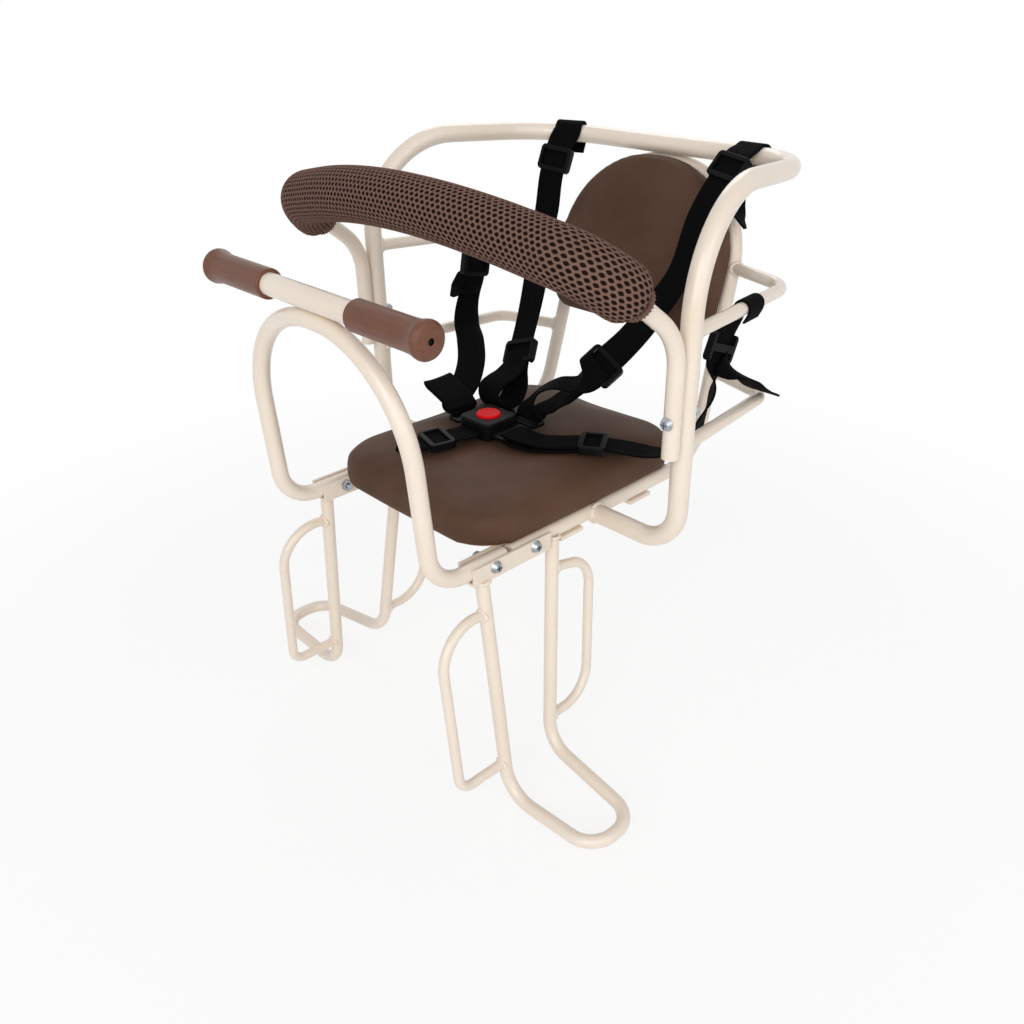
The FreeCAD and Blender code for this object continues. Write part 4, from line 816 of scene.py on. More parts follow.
# Where the leg guards meet the legs, the way they leave, and the leg
GUARD_SPOTS: tuple[tuple[Point, Point, Point], ...] = (
    ((98.97, -133.4, -27.5), (0.0, -46.0, 13.5), LEG_FRONT),
    ((112.73, -130.65, -160.0), (0.0, -1.0, 0.0), LEG_FRONT),
    ((96.42, -62.7, -19.5), (0.0, 43.0, -10.0), LEG_REAR),
    ((108.77, -76.5, -149.5), (0.0, 1.0, 0.0), LEG_REAR))


@dataclass
class Welds:
    """Rippled beads where the tubes of the frame are joined, painted over."""

    bead: float = 1.5
    ripple: float = 0.14
    ripples: int = 22
    rows: int = 110
    columns: int = 10
    joints: tuple[Joint, ...] = (
        TubeJoint((171.95, -11.0, 171.0), (-23.95, 152.0, -4.5), ARM_RADIUS, FRAME_RADIUS, *UPRIGHT),
        TubeJoint((85.52, 161.0, 166.5), (62.48, -20.0, 0.0), ARM_RADIUS, RAIL_RADIUS, *ARCH),
        TubeJoint((166.0, -11.0, 84.05), (-15.0, 132.0, -0.05), ARM_RADIUS, FRAME_RADIUS, *UPRIGHT),
        TubeJoint((88.39, 139.0, 84.0), (62.61, -18.0, 0.0), ARM_RADIUS, RAIL_RADIUS, *ARCH),
        TubeJoint((94.0, -60.0, 6.0), LEG_REAR, LEG_RADIUS, RAIL_RADIUS, *RAIL),
        FlatJoint((96.0, -134.0, 1.12), LEG_FRONT, LEG_RADIUS, height=0.45),
        *(TubeJoint(spot, way, GUARD_RADIUS, LEG_RADIUS, spot, leg) for spot, way, leg in GUARD_SPOTS),
        TubeJoint((91.0, -11.0, 7.6), (1.0, 0.0, 0.0), FRAME_RADIUS, RAIL_RADIUS, *RAIL, least=4.0),
    )

    def build(self) -> None:
        """Carry a small circle, rippled in size, round each joint on both sides."""
        turn = circle(self.rows)
        rings = np.stack([joint.ring(turn) for joint in self.joints])
        rings = np.concatenate([rings, rings * MIRROR])
        along = unit(np.roll(rings, -1, axis=1) - np.roll(rings, 1, axis=1))
        out = unit(rings - rings.mean(axis=1, keepdims=True))
        out = unit(out - along * (out * along).sum(axis=-1, keepdims=True))
        side = np.cross(along, out)
        size = self.bead * (1 + self.ripple * np.cos(self.ripples * turn))[None, :, None, None]
        round_bead = circle(self.columns)[:, None]
        points = rings[:, :, None] + size * (out[:, :, None] * np.cos(round_bead)
                                             + side[:, :, None] * np.sin(round_bead))
        piece = grid_object("weld_beads", points, wrap_rows=True, wrap_columns=True)
        weld(piece)
        dress(piece, Slot.PAINT)


@dataclass
class Cushion:
    """A vinyl pad on its board: a flat back, a rolled edge and a crowned face, swollen by simulated cloth."""

    name: str
    node: str
    outline: Array
    thickness: float
    edge: float
    crown: float
    origin: Point
    turn: Matrix
    low_roll: float = 1.5
    voxel: float = 4.0
    swell: float = 3.5
    sideways: float = 0.4
    held_height: float = 3.0
    pressure: float = 4.0
    steps: int = 20
    quality: int = 6
    stretch_stiffness: float = 20.0
    bending_stiffness: float = 1.5
    smoothing: int = 12
    fill: float = 0.85
    roll_rows: int = 9
    face_rows: int = 13
    face_rim: float = 0.94
    crown_shape: float = 0.8

    def surface(self) -> Array:
        """Grid of rings from the middle of the back, round the rolled edge, to the middle of the face.

        A ring is the outline drawn in along its normals on the rolled edge, and scaled by s towards the
        middle on the two faces; the face stands crown (1 - s^2)^shape above its rim.

        Returns:
            Rings by outline points by 3, in the pad's own frame.
        """
        rim = self.outline
        middle = rim.mean(axis=0)
        ahead = np.roll(rim, -1, axis=0) - np.roll(rim, 1, axis=0)
        normal = unit(np.stack([ahead[:, 1], -ahead[:, 0]], axis=-1))
        roll = np.linspace(0.0, math.pi / 2, self.roll_rows)
        inset = np.concatenate([self.low_roll * (1 - np.sin(roll)), self.edge * (1 - np.cos(roll))])
        height = np.concatenate([
            self.low_roll * (1 - np.cos(roll)), self.thickness - self.edge * (1 - np.sin(roll))])
        edge_rings = rim[None] - normal[None] * inset[:, None, None]
        scale = np.linspace(0.0, self.face_rim, self.face_rows)
        back = middle + (edge_rings[0] - middle) * scale[:, None, None]
        face = middle + (edge_rings[-1] - middle) * scale[::-1][:, None, None]
        rise = self.thickness + self.crown * (1 - scale[::-1] ** 2) ** self.crown_shape
        plan = np.concatenate([back, edge_rings, face])
        heights = np.concatenate([np.zeros(len(scale)), height, rise])
        return np.concatenate([plan, np.broadcast_to(heights[:, None, None], (*plan.shape[:2], 1))], axis=-1)

    def build(self) -> None:
        """Make the pad, swell it, set it on its board and dress it."""
        piece = grid_object(self.name, self.surface(), wrap_columns=True)
        weld(piece)
        self.remesh(piece)
        self.inflate(piece)
        piece.data.transform(Matrix.Translation(Vector(self.origin) * MM) @ self.turn)
        piece.data.polygons.foreach_set("use_smooth", np.ones(len(piece.data.polygons), dtype=bool))
        smooth = piece.modifiers.new("Subdivision", "SUBSURF")
        smooth.levels = smooth.render_levels = 1
        dress(piece, Slot.VINYL, self.node)

    def remesh(self, piece: bpy.types.Object) -> None:
        """Lay even voxel faces over the pad.

        Args:
            piece: The closed pad.
        """
        maker = piece.modifiers.new("Voxels", "REMESH")
        maker.mode = "VOXEL"
        maker.voxel_size = self.voxel * MM
        maker.use_smooth_shade = True
        bpy.context.view_layer.objects.active = piece
        bpy.ops.object.modifier_apply(modifier=maker.name)

    def inflate(self, piece: bpy.types.Object) -> None:
        """Swell the pad with cloth pressure, its back held, and cap and even out how far the points move.

        Args:
            piece: The remeshed pad.
        """
        mesh = piece.data
        start = np.empty((len(mesh.vertices), 3), dtype=np.float32)
        mesh.vertices.foreach_get("co", start.ravel())
        held = piece.vertex_groups.new(name="held")
        held.add(np.flatnonzero(start[:, 2] < self.held_height * MM).tolist(), 1.0, "REPLACE")
        cloth = piece.modifiers.new("Cloth", "CLOTH")
        for name, value in (
                ("vertex_group_mass", held.name), ("use_pressure", True),
                ("uniform_pressure_force", self.pressure), ("quality", self.quality),
                ("tension_stiffness", self.stretch_stiffness),
                ("compression_stiffness", self.stretch_stiffness),
                ("bending_stiffness", self.bending_stiffness)):
            setattr(cloth.settings, name, value)
        cloth.settings.effector_weights.gravity = 0.0
        cloth.point_cache.frame_start = 1
        cloth.point_cache.frame_end = self.steps
        scene = bpy.context.scene
        for step in range(1, self.steps + 1):
            scene.frame_set(step)
        shown = piece.evaluated_get(bpy.context.evaluated_depsgraph_get())
        swollen = np.empty_like(start)
        shown.data.vertices.foreach_get("co", swollen.ravel())
        move = swollen - start
        size = np.linalg.norm(move, axis=1, keepdims=True)
        move *= np.minimum(1.0, self.swell * MM / np.maximum(size, 1e-9))
        move[:, :2] *= self.sideways
        piece.modifiers.remove(cloth)
        piece.vertex_groups.remove(held)
        mesh.vertices.foreach_set("co", (start + self.evened(mesh, move)).ravel())
        mesh.update()
        scene.frame_set(1)

    def evened(self, mesh: bpy.types.Mesh, move: Array) -> Array:
        """Average each point's movement with that of its neighbours along the edges, several times over.

        Args:
            mesh: Mesh whose edges give the neighbours.
            move: Movement of each point.

        Returns:
            The smoothed movement.
        """
        ends = np.empty((len(mesh.edges), 2), dtype=np.int32)
        mesh.edges.foreach_get("vertices", ends.ravel())
        count = np.bincount(ends.ravel(), minlength=len(move))[:, None]
        for _ in range(self.smoothing):
            total = np.zeros_like(move)
            np.add.at(total, ends[:, 0], move[ends[:, 1]])
            np.add.at(total, ends[:, 1], move[ends[:, 0]])
            move = (move + total / count) / 2
        return move.astype(np.float32)


@dataclass
class Upholstery:
    """The seat pad and the backrest pad."""

    rail_top: float = 15.8
    seat_half_width: float = 97.0
    seat_front: float = -133.0
    seat_rear: float = 106.0
    seat_corner: float = 44.0
    seat_thickness: float = 25.0
    seat_edge: float = 9.5
    seat_crown: float = 1.8
    back_foot: Point = (0.0, 119.0, 9.0)
    back_lean: float = 14.93
    back_face: float = 6.05
    back_half_width: float = 94.0
    back_foot_half_width: float = 84.0
    back_low: float = 98.5
    back_high: float = 240.0
    back_corner: float = 84.0
    back_foot_corner: float = 20.0
    back_thickness: float = 22.0
    back_edge: float = 9.5
    back_crown: float = 3.0
    swell_room: float = 1.5
    spacing: float = 4.0

    def rounded_outline(self, corners: list[tuple[float, float]], bends: tuple[float, ...]) -> Array:
        """Round a polygon's corners and space points evenly round it.

        Args:
            corners: Corners, anticlockwise, in millimetres.
            bends: Corner radii.

        Returns:
            Points by 2.
        """
        flat = [(*c, 0.0) for c in corners]
        start = tuple((np.array(flat[0]) + np.array(flat[-1])) / 2)
        loop = bent_path([start, *flat, start], bends, self.spacing)
        return loop[:-1, :2]

    def build(self) -> None:
        """Make both pads; the seat is a little smaller than its space so that it can swell into it."""
        room = self.swell_room
        half = self.seat_half_width - room
        front = self.seat_front + room
        rear = self.seat_rear - room
        seat = self.rounded_outline(
            [(-half, front), (half, front), (half, rear), (-half, rear)], (self.seat_corner - room,) * 4)
        Cushion("seat_cushion", "seat_pad", seat, self.seat_thickness, self.seat_edge, self.seat_crown,
                (0.0, 0.0, self.rail_top), Matrix.Identity(4)).build()
        foot = self.back_foot_half_width
        head = self.back_half_width
        back = self.rounded_outline(
            [(-foot, self.back_low), (foot, self.back_low), (head, self.back_high), (-head, self.back_high)],
            (self.back_foot_corner, self.back_foot_corner, self.back_corner, self.back_corner))
        turn = Matrix.Rotation(math.radians(90.0 - self.back_lean), 4, "X")
        out = turn @ Vector((0.0, 0.0, self.back_face))
        Cushion("backrest_cushion", "backrest_pad", back, self.back_thickness, self.back_edge,
                self.back_crown, tuple(Vector(self.back_foot) + out), turn).build()


@dataclass
class GuardSleeve:
    """The mesh sleeve on the guard bar: a fat soft tube, knitted in holes and gathered in a hem at each end.

    The profile gives radii by the distance from an end.
    """

    knee: Point = (172.0, -24.85, 172.0)
    corner: Point = (163.0, -90.5, 224.5)
    nose: Point = (0.0, -119.0, 257.0)
    corner_bend: float = 50.0
    nose_bend: float = 400.0
    lead: float = 4.5
    step: float = 0.8
    profile: tuple[tuple[float, float], ...] = (
        (0.0, 10.4), (0.9, 11.9), (4.9, 11.9), (5.9, 9.2), (6.8, 10.2), (7.9, 14.0), (9.8, 17.2),
        (13.0, 19.0), (18.0, 19.7))
    pleats: int = 28
    pleat_depth: float = 0.6
    pleat_end: float = 12.0
    unevenness: float = 0.008
    uneven_from: float = 20.0
    uneven_wave: float = 37.0
    hem: float = 5.2
    holes_round: int = 18
    hole_depth: float = 0.8
    columns: int = 180
    fill: float = 0.8

    def build(self) -> None:
        """Carry a ring along the bar, its radius read off the profile by the distance from the nearer end.

        The radius wavers by a slow sine away from the ends.  Pleats add a cosine round the hem; the knit's
        holes sink the body where the mesh finish draws them, and the hem keeps to a spot of the pattern
        between holes.
        """
        knit = FINISHES[Slot.MESH]
        corner = np.array(self.corner)
        way = unit(corner - np.array(self.knee))
        bend = math.acos(float(way @ unit(np.array(self.nose) - corner)))
        first = corner - way * (self.corner_bend * math.tan(bend / 2) + self.lead)
        path = bent_path(
            [tuple(first), self.corner, self.nose, tuple(corner * MIRROR), tuple(first * MIRROR)],
            (self.corner_bend, self.nose_bend, self.corner_bend), self.step)
        far = running_length(path)
        along = unit(np.gradient(path, axis=0))
        face = unit(np.cross(np.array([1.0, 0.0, 0.0]), way))
        out = unit(face - along * (along @ face)[:, None])
        side = np.cross(along, out)
        end = np.minimum(far, far[-1] - far)
        radius = np.interp(end, *np.array(self.profile).T)
        grown = np.clip(end / self.uneven_from - 1.0, 0.0, 1.0)
        radius *= 1.0 + self.unevenness * grown * np.sin(far / self.uneven_wave)
        turn = np.linspace(0.0, 2 * math.pi, self.columns + 1)
        gather = self.pleat_depth * np.clip((self.pleat_end - end) / (self.pleat_end - self.hem), 0.0, 1.0)
        wave = np.abs(knit.squeeze * np.cos(2 * math.pi * far / knit.pitch_along)[:, None]
                      + np.cos(self.holes_round * turn)[None])
        hole = np.clip((wave - knit.edge[0]) / (knit.edge[1] - knit.edge[0]), 0.0, 1.0)
        body = np.clip((end - self.hem) / (self.pleat_end - self.hem), 0.0, 1.0)
        ring = (radius[:, None] + gather[:, None] * np.cos(self.pleats * turn)[None]
                - self.hole_depth * hole * body[:, None])
        spoke = (out[:, None] * np.cos(turn)[None, :, None] + side[:, None] * np.sin(turn)[None, :, None])
        points = capped(path[:, None] + ring[..., None] * spoke, path)
        around = turn * self.holes_round * knit.pitch_round / (2 * math.pi)
        run = np.pad(far, 1, mode="edge")
        uv = np.stack(np.broadcast_arrays(run[:, None], around[None]), axis=-1)
        uv[np.pad(end, 1, mode="edge") < self.hem] = (knit.pitch_along / 4, knit.pitch_round / 4)
        piece = grid_object("guard_sleeve", points, uv)
        weld(piece)
        dress(piece, Slot.MESH, "guard_pad")


@dataclass
class HandleGrips:
    """Two dip-moulded grips: a plain body that flares to a domed flange with a vent hole."""

    start: float = 49.0
    end: float = 121.0
    body: float = 10.7
    flange: float = 12.5
    inner_edge: tuple[tuple[float, float], ...] = ((0.0, 1.0), (0.3, 0.4), (1.1, 0.0))
    flare: tuple[tuple[float, float], ...] = ((19.0, 0.0), (13.0, 0.25), (9.0, 0.9))
    dome: tuple[tuple[float, float], ...] = (
        (6.5, 0.2), (5.0, 0.0), (3.6, 0.1), (2.0, 0.9), (0.9, 2.3), (0.3, 4.5), (0.0, 7.5))
    vent: float = 2.15
    vent_edge: tuple[tuple[float, float], ...] = ((0.0, 0.5), (0.4, 0.0))
    vent_depth: float = 2.5
    samples: int = 150
    columns: int = 96

    def build(self) -> None:
        """Turn the profile, given as distance from the inner end and radius, about the handle.

        The inner edge is cut down from the body's radius and the dome from the flange's; the flare and the
        vent's edge stand above theirs.  All but the inner edge are placed by the distance from the outer end.
        """
        length = self.end - self.start
        floor = length - self.vent_depth
        profile = np.array([
            (0.0, 0.0), *((far, self.body - cut) for far, cut in self.inner_edge),
            *((length - back, self.body + rise) for back, rise in self.flare),
            *((length - back, self.flange - cut) for back, cut in self.dome),
            *((length - back, self.vent + rise) for back, rise in self.vent_edge),
            (floor, self.vent), (floor, 0.0)])
        far = running_length(profile)
        even = np.unique(np.concatenate([np.linspace(0.0, far[-1], self.samples), far]))
        along = np.interp(even, far, profile[:, 0])[:, None]
        radius = np.interp(even, far, profile[:, 1])[:, None]
        turn = circle(self.columns)[None]
        for side in Side:
            points = np.stack(np.broadcast_arrays(
                side.value * (self.start + along), HANDLE_Y + radius * np.cos(turn),
                HANDLE_Z + radius * np.sin(turn)), axis=-1)
            name = side.name.lower()
            piece = grid_object(f"grip_cover_{name}", points, wrap_columns=True)
            weld(piece)
            dress(piece, Slot.GRIP, f"grip_{name}")


@dataclass
class ButtonSpring:
    """The coil under the release button, drawn as a wire; the real coil shortens when the button is pressed.
    """

    centre: tuple[float, float] = (-16.0, -22.0)
    coil: float = 5.05
    wire: float = 0.45
    pitch: float = 2.2
    press: float = 3.0
    rows_per_turn: int = 40
    columns: int = 12

    def build(self) -> None:
        """Carry a circle of wire along a helix, as high as the CAD coil, that climbs its pitch in a turn."""
        low, high = (corner[2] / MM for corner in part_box("button_spring"))
        turns = (high - low - 2 * self.wire) / self.pitch
        turn = np.linspace(0.0, 2 * math.pi * turns, int(turns * self.rows_per_turn))
        out = np.stack([np.cos(turn), np.sin(turn), np.zeros_like(turn)], axis=-1)
        height = low + self.wire + self.pitch * turn / (2 * math.pi)
        middle = np.stack(np.broadcast_arrays(*self.centre, height), axis=-1)
        path = middle + self.coil * out
        side = np.cross(unit(np.gradient(path, axis=0)), out)
        around = circle(self.columns)[:, None]
        points = path[:, None] + self.wire * (out[:, None] * np.cos(around) + side[:, None] * np.sin(around))
        piece = grid_object("button_coil", capped(points, path), wrap_columns=True)
        weld(piece)
        dress(piece, Slot.ZINC, "button_spring")
        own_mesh(piece)


@dataclass(frozen=True)
class Anchor:
    """The bent tube that a strap is looped round, the spot of the loop and its radius."""

    corners: tuple[Point, ...]
    bends: tuple[float, ...]
    spot: Point
    radius: float
    tail_down: float = 1.5
    tail_back: float = 0.75
    loop_step: int = 20

    def found(self) -> tuple[Array, Array]:
        """Find the point of the tube nearest the spot.

        Returns:
            The point and the tube's direction there.
        """
        path = bent_path(list(self.corners), self.bends, 0.5)
        nearest = int(np.argmin(np.linalg.norm(path - np.array(self.spot), axis=1)))
        return path[nearest], unit(np.gradient(path, axis=0)[nearest])

    def loop(self, centre: Array, axis: Array, towards: Array, face: Array) -> tuple[Array, Array]:
        """Take the strap up the tube's far side and down its near side.

        The loop's points stand at centre + radius (near sin a - down cos a), with a from -90 to 90 degrees.

        Args:
            centre: Point on the tube's axis.
            axis: The tube's direction there.
            towards: Where the strap goes on to.
            face: The way its outer face looks there.

        Returns:
            Rows of the loop, and the near side's offset from the axis.
        """
        down = towards - centre
        down = unit(down - axis * (down @ axis))
        near = face - axis * (face @ axis)
        near = unit(near - down * (near @ down))
        turn = np.radians(np.arange(-90.0, 91.0, self.loop_step))[:, None]
        outward = near * np.sin(turn) - down * np.cos(turn)
        tail = centre + self.radius * (down * self.tail_down - near * self.tail_back)
        rows = np.hstack([centre + outward * self.radius, outward])
        return np.vstack([np.hstack([tail, -near]), rows]), near * self.radius


FRAME_HALF: tuple[Point, ...] = (
    (95.0, -11.0, 7.6), (172.0, -11.0, 7.6), (172.0, -11.0, 261.5), (136.5, 177.0, 252.0))
FRAME_CORNERS = (*FRAME_HALF, *mirrored(FRAME_HALF[::-1]))
FRAME_BENDS = (32.0, 78.0, 70.0, 70.0, 78.0, 32.0)
LEFT_ARM: tuple[Point, ...] = ((171.95, -11.0, 171.0), (148.0, 141.0, 166.5), (85.52, 161.0, 166.5))
RIGHT_ARM = mirrored(LEFT_ARM)
ARM_BENDS = (28.0,)


@dataclass(frozen=True)
class Route:
    """Listed rows of a strap, each a point and an outward face, with its two ends and its sliders.

    The rows are those of the part's source; the first and last are carried to the fittings they meet.
    """

    rows: tuple[Row, ...]
    end: Point
    sliders: tuple[int, ...]
    anchor: Anchor | None = None
    start: Point = (0.0, 0.0, 0.0)
    slider_run: float = 11.3

    def carried(self) -> Array:
        """Carry the rows to the fittings, lay the loop round the tube and keep the strap straight in sliders.

        Returns:
            Rows of the finished route.
        """
        rows = np.array(self.rows, float)
        spots = rows[:, :3]
        faces = rows[:, 3:]
        start, axis = self.anchor.found() if self.anchor else (np.array(self.start), None)
        share = np.linspace(0.0, 1.0, len(rows))[:, None]
        spots = spots + (start - spots[0]) * (1 - share) + (np.array(self.end) - spots[-1]) * share
        parts = []
        if self.anchor:
            loop, offset = self.anchor.loop(start, axis, spots[1], faces[1])
            spots[:2] += offset
            parts.append(loop)
        for i in range(len(parts), len(rows)):
            if i in self.sliders:
                along = unit(spots[i + 1] - spots[i - 1])
                out = unit(faces[i] - along * (faces[i] @ along))
                run = self.slider_run * np.array([[-1.0], [0.0], [1.0]]) * along
                parts.append(np.hstack([spots[i] + run, np.tile(out, (3, 1))]))
            else:
                parts.append(np.hstack([spots[i], faces[i]])[None])
        return np.concatenate(parts)


LEFT_SHOULDER = Route((
    (83.0, 177.0, 252.0, 0.0, -0.6, 0.8), (79.5, 158.0, 238.0, 0.0, -0.7, 0.7),
    (72.0, 132.0, 212.0, 0.0, -0.9, 0.4), (69.0, 112.0, 167.0, 0.0, -0.8, 0.6),
    (62.0, 90.0, 140.0, 0.2, -0.7, 0.7), (60.0, 68.0, 124.0, 0.3, -0.5, 0.8),
    (54.0, 40.0, 106.0, 0.5, -0.4, 0.8), (42.0, 33.0, 92.0, 0.4, -0.4, 0.8),
    (28.0, 33.0, 78.0, 0.2, -0.4, 0.9), (13.0, 32.0, 66.0, 0.1, -0.3, 0.9),
    (4.0, 27.0, 59.0, 0.0, -0.1, 1.0), (1.5, 20.5, 56.5, 0.0, 0.0, 1.0), (1.5, 14.6, 56.2, 0.0, 0.0, 1.0),
), (1.5, 7.9, 55.3), (1, 6), Anchor(FRAME_CORNERS, FRAME_BENDS, (83.0, 177.0, 252.0), 9.1))
RIGHT_SHOULDER = Route((
    (-110.0, 170.0, 252.0, 0.0, -0.6, 0.8), (-113.0, 158.0, 228.0, 0.2, -0.9, 0.4),
    (-109.0, 140.0, 190.0, 0.2, -0.9, 0.4), (-92.0, 114.0, 162.0, 0.1, -0.8, 0.6),
    (-72.0, 88.0, 136.0, 0.0, -0.7, 0.7), (-56.0, 62.0, 108.0, -0.1, -0.7, 0.7),
    (-46.0, 46.0, 92.0, -0.1, -0.7, 0.7), (-40.0, 36.0, 76.0, 0.0, -0.7, 0.7),
    (-35.0, 30.0, 64.0, 0.0, -0.5, 0.9), (-33.5, 24.0, 57.8, 0.0, -0.2, 1.0),
    (-33.5, 19.0, 56.3, 0.0, 0.0, 1.0), (-33.5, 14.6, 56.2, 0.0, 0.0, 1.0),
), (-33.5, 7.9, 55.3), (1, 6), Anchor(FRAME_CORNERS, FRAME_BENDS, (-110.0, 177.0, 252.0), 10.0))
LEFT_WAIST = Route((
    (158.0, 78.0, 169.0, -1.0, 0.0, 0.0), (152.0, 66.0, 136.0, -1.0, 0.0, 0.0),
    (149.0, 57.0, 110.0, -0.75, -0.65, 0.0), (147.5, 49.0, 88.0, -0.9, -0.4, 0.1),
    (145.0, 40.0, 70.0, -0.9, 0.0, 0.4), (132.0, 35.0, 58.0, -0.5, 0.0, 0.9),
    (114.0, 32.0, 52.0, -0.2, 0.0, 1.0), (96.0, 28.0, 50.6, 0.0, 0.0, 1.0),
    (70.0, 15.0, 50.6, 0.0, 0.0, 1.0), (50.0, -4.0, 51.2, 0.0, 0.0, 1.0),
    (37.0, -17.0, 53.6, 0.0, 0.0, 1.0), (26.0, -22.0, 56.0, 0.0, 0.0, 1.0),
    (18.6, -22.0, 56.2, 0.0, 0.0, 1.0),
), (13.9, -22.0, 55.3), (1, 8), Anchor(LEFT_ARM, ARM_BENDS, (172.0, 78.0, 166.5), 6.1))
RIGHT_WAIST = Route((
    (-156.0, 92.0, 169.0, 1.0, 0.0, 0.0), (-152.0, 87.0, 142.0, 1.0, 0.0, 0.0),
    (-149.0, 78.0, 112.0, 1.0, 0.0, 0.2), (-140.0, 66.0, 96.0, 0.8, -0.2, 0.6),
    (-116.0, 48.0, 86.0, 0.3, -0.2, 0.9), (-96.0, 30.0, 76.0, 0.2, -0.2, 0.9),
    (-80.0, 8.0, 66.0, 0.2, -0.1, 0.9), (-70.0, -12.0, 59.0, 0.1, 0.0, 1.0),
    (-59.0, -21.5, 56.3, 0.0, 0.0, 1.0), (-50.6, -22.0, 56.2, 0.0, 0.0, 1.0),
), (-45.9, -22.0, 55.3), (1,), Anchor(RIGHT_ARM, ARM_BENDS, (-172.0, 92.0, 166.5), 6.1))
CROTCH = Route((
    (-31.0, -98.0, 8.0, 0.0, -1.0, 0.0), (-31.0, -98.0, 40.0, 0.0, -1.0, 0.0),
    (-31.0, -98.0, 46.0, 0.0, -0.9, 0.4), (-30.6, -96.0, 49.6, 0.0, -0.5, 0.9),
    (-29.8, -91.5, 51.0, 0.0, 0.0, 1.0), (-24.5, -71.0, 51.6, 0.0, 0.0, 1.0),
    (-19.0, -56.0, 52.6, 0.0, 0.0, 1.0), (-16.0, -48.0, 53.0, 0.0, 0.0, 1.0),
    (-16.0, -42.0, 53.0, 0.0, 0.0, 1.0), (-16.0, -34.0, 53.0, 0.0, 0.0, 1.0),
), (-16.0, -34.0, 52.95), (5,), start=(-31.0, -98.0, 8.45))

# The lengths that come back from a slider or a tongue, and the loose ends, drawn as they hang in the picture
LEFT_SHOULDER_LOOP: tuple[Row, ...] = (
    (54.8, 34.9, 107.0, 0.38, -0.71, 0.59), (49.5, 26.0, 100.0, 0.5, -0.45, 0.75),
    (38.7, 23.9, 90.5, 0.35, -0.1, 0.93), (23.0, 17.1, 88.2, -0.1, -0.1, 1.0),
    (11.5, 12.2, 81.0, -0.7, -0.35, 0.6), (3.7, 8.9, 67.5, -0.6, -0.75, 0.2),
    (1.6, 6.4, 58.5, 0.0, -1.0, 0.1), (1.5, 5.6, 53.5, 0.0, -1.0, 0.0))
RIGHT_SHOULDER_LOOP: tuple[Row, ...] = (
    (-44.8, 40.8, 93.2, -0.06, -0.78, 0.63), (-41.0, 33.5, 85.6, 0.0, -0.7, 0.7),
    (-38.0, 21.0, 80.0, 0.0, -0.3, 0.95), (-38.0, 8.0, 76.5, 0.0, -0.5, 0.85),
    (-39.5, 0.5, 70.0, 0.0, -0.95, 0.3), (-38.5, 0.0, 62.0, 0.0, -0.95, -0.2),
    (-35.0, 3.5, 57.0, 0.0, -0.8, -0.55), (-33.5, 5.6, 53.5, 0.0, -0.9, -0.4))
RIGHT_WAIST_LOOP: tuple[Row, ...] = (
    (-47.0, -21.8, 57.0, 0.0, 0.1, -1.0), (-56.0, -19.5, 60.0, -0.05, 0.2, -1.0),
    (-70.0, -16.0, 62.3, -0.05, 0.22, -0.97), (-84.0, -12.5, 63.8, -0.05, 0.22, -0.97),
    (-93.5, -10.2, 64.6, -0.2, 0.2, -0.95), (-97.0, -9.4, 66.5, -1.0, 0.25, 0.0),
    (-93.5, -10.2, 68.4, -0.2, -0.15, 0.97), (-84.0, -12.5, 67.6, 0.05, -0.22, 0.97),
    (-70.0, -16.0, 65.8, 0.05, -0.22, 0.97), (-56.0, -19.5, 62.8, 0.05, -0.2, 1.0),
    (-47.0, -21.8, 58.8, 0.0, -0.1, 1.0))
LEFT_WAIST_RETURN: tuple[Row, ...] = (
    (62.0, 9.0, 48.3, 0.0, 0.0, 1.0), (47.0, -8.0, 48.4, 0.0, 0.0, 1.0), (33.0, -21.5, 49.4, 0.0, 0.0, 1.0),
    (22.0, -25.0, 50.6, 0.0, 0.0, 1.0), (14.0, -24.0, 50.9, 0.0, 0.0, 1.0))
LEFT_TAIL: tuple[Row, ...] = (
    (148.4, 61.0, 127.5, 1.0, 0.0, 0.0), (152.0, 65.0, 122.5, 0.8, 0.4, 0.3),
    (156.0, 71.0, 118.5, 0.4, 0.6, 0.6), (159.0, 80.0, 112.5, 0.1, 0.55, 0.8),
    (160.0, 92.0, 102.5, 0.0, 0.6, 0.8), (160.0, 106.0, 94.5, 0.0, 0.5, 0.85),
    (160.0, 121.5, 88.0, 0.0, 0.45, 0.9))
LEFT_SHOULDER_TAIL: tuple[Row, ...] = (
    (77.5, 149.0, 235.5, 0.0, -0.77, 0.64), (82.5, 151.5, 226.0, 0.4, -0.5, 0.6),
    (89.0, 151.0, 215.5, 0.7, 0.0, 0.6), (95.0, 150.0, 208.7, 0.8, 0.3, 0.5),
    (100.5, 150.0, 202.0, 0.8, 0.3, 0.5))
RIGHT_TAIL: tuple[Row, ...] = (
    (-148.0, 80.0, 130.0, 1.0, 0.0, 0.0), (-149.0, 76.0, 126.0, 0.7, -0.4, 0.5),
    (-150.0, 69.0, 121.5, 0.2, -0.5, 0.8), (-150.0, 57.0, 116.0, 0.0, -0.45, 0.9))


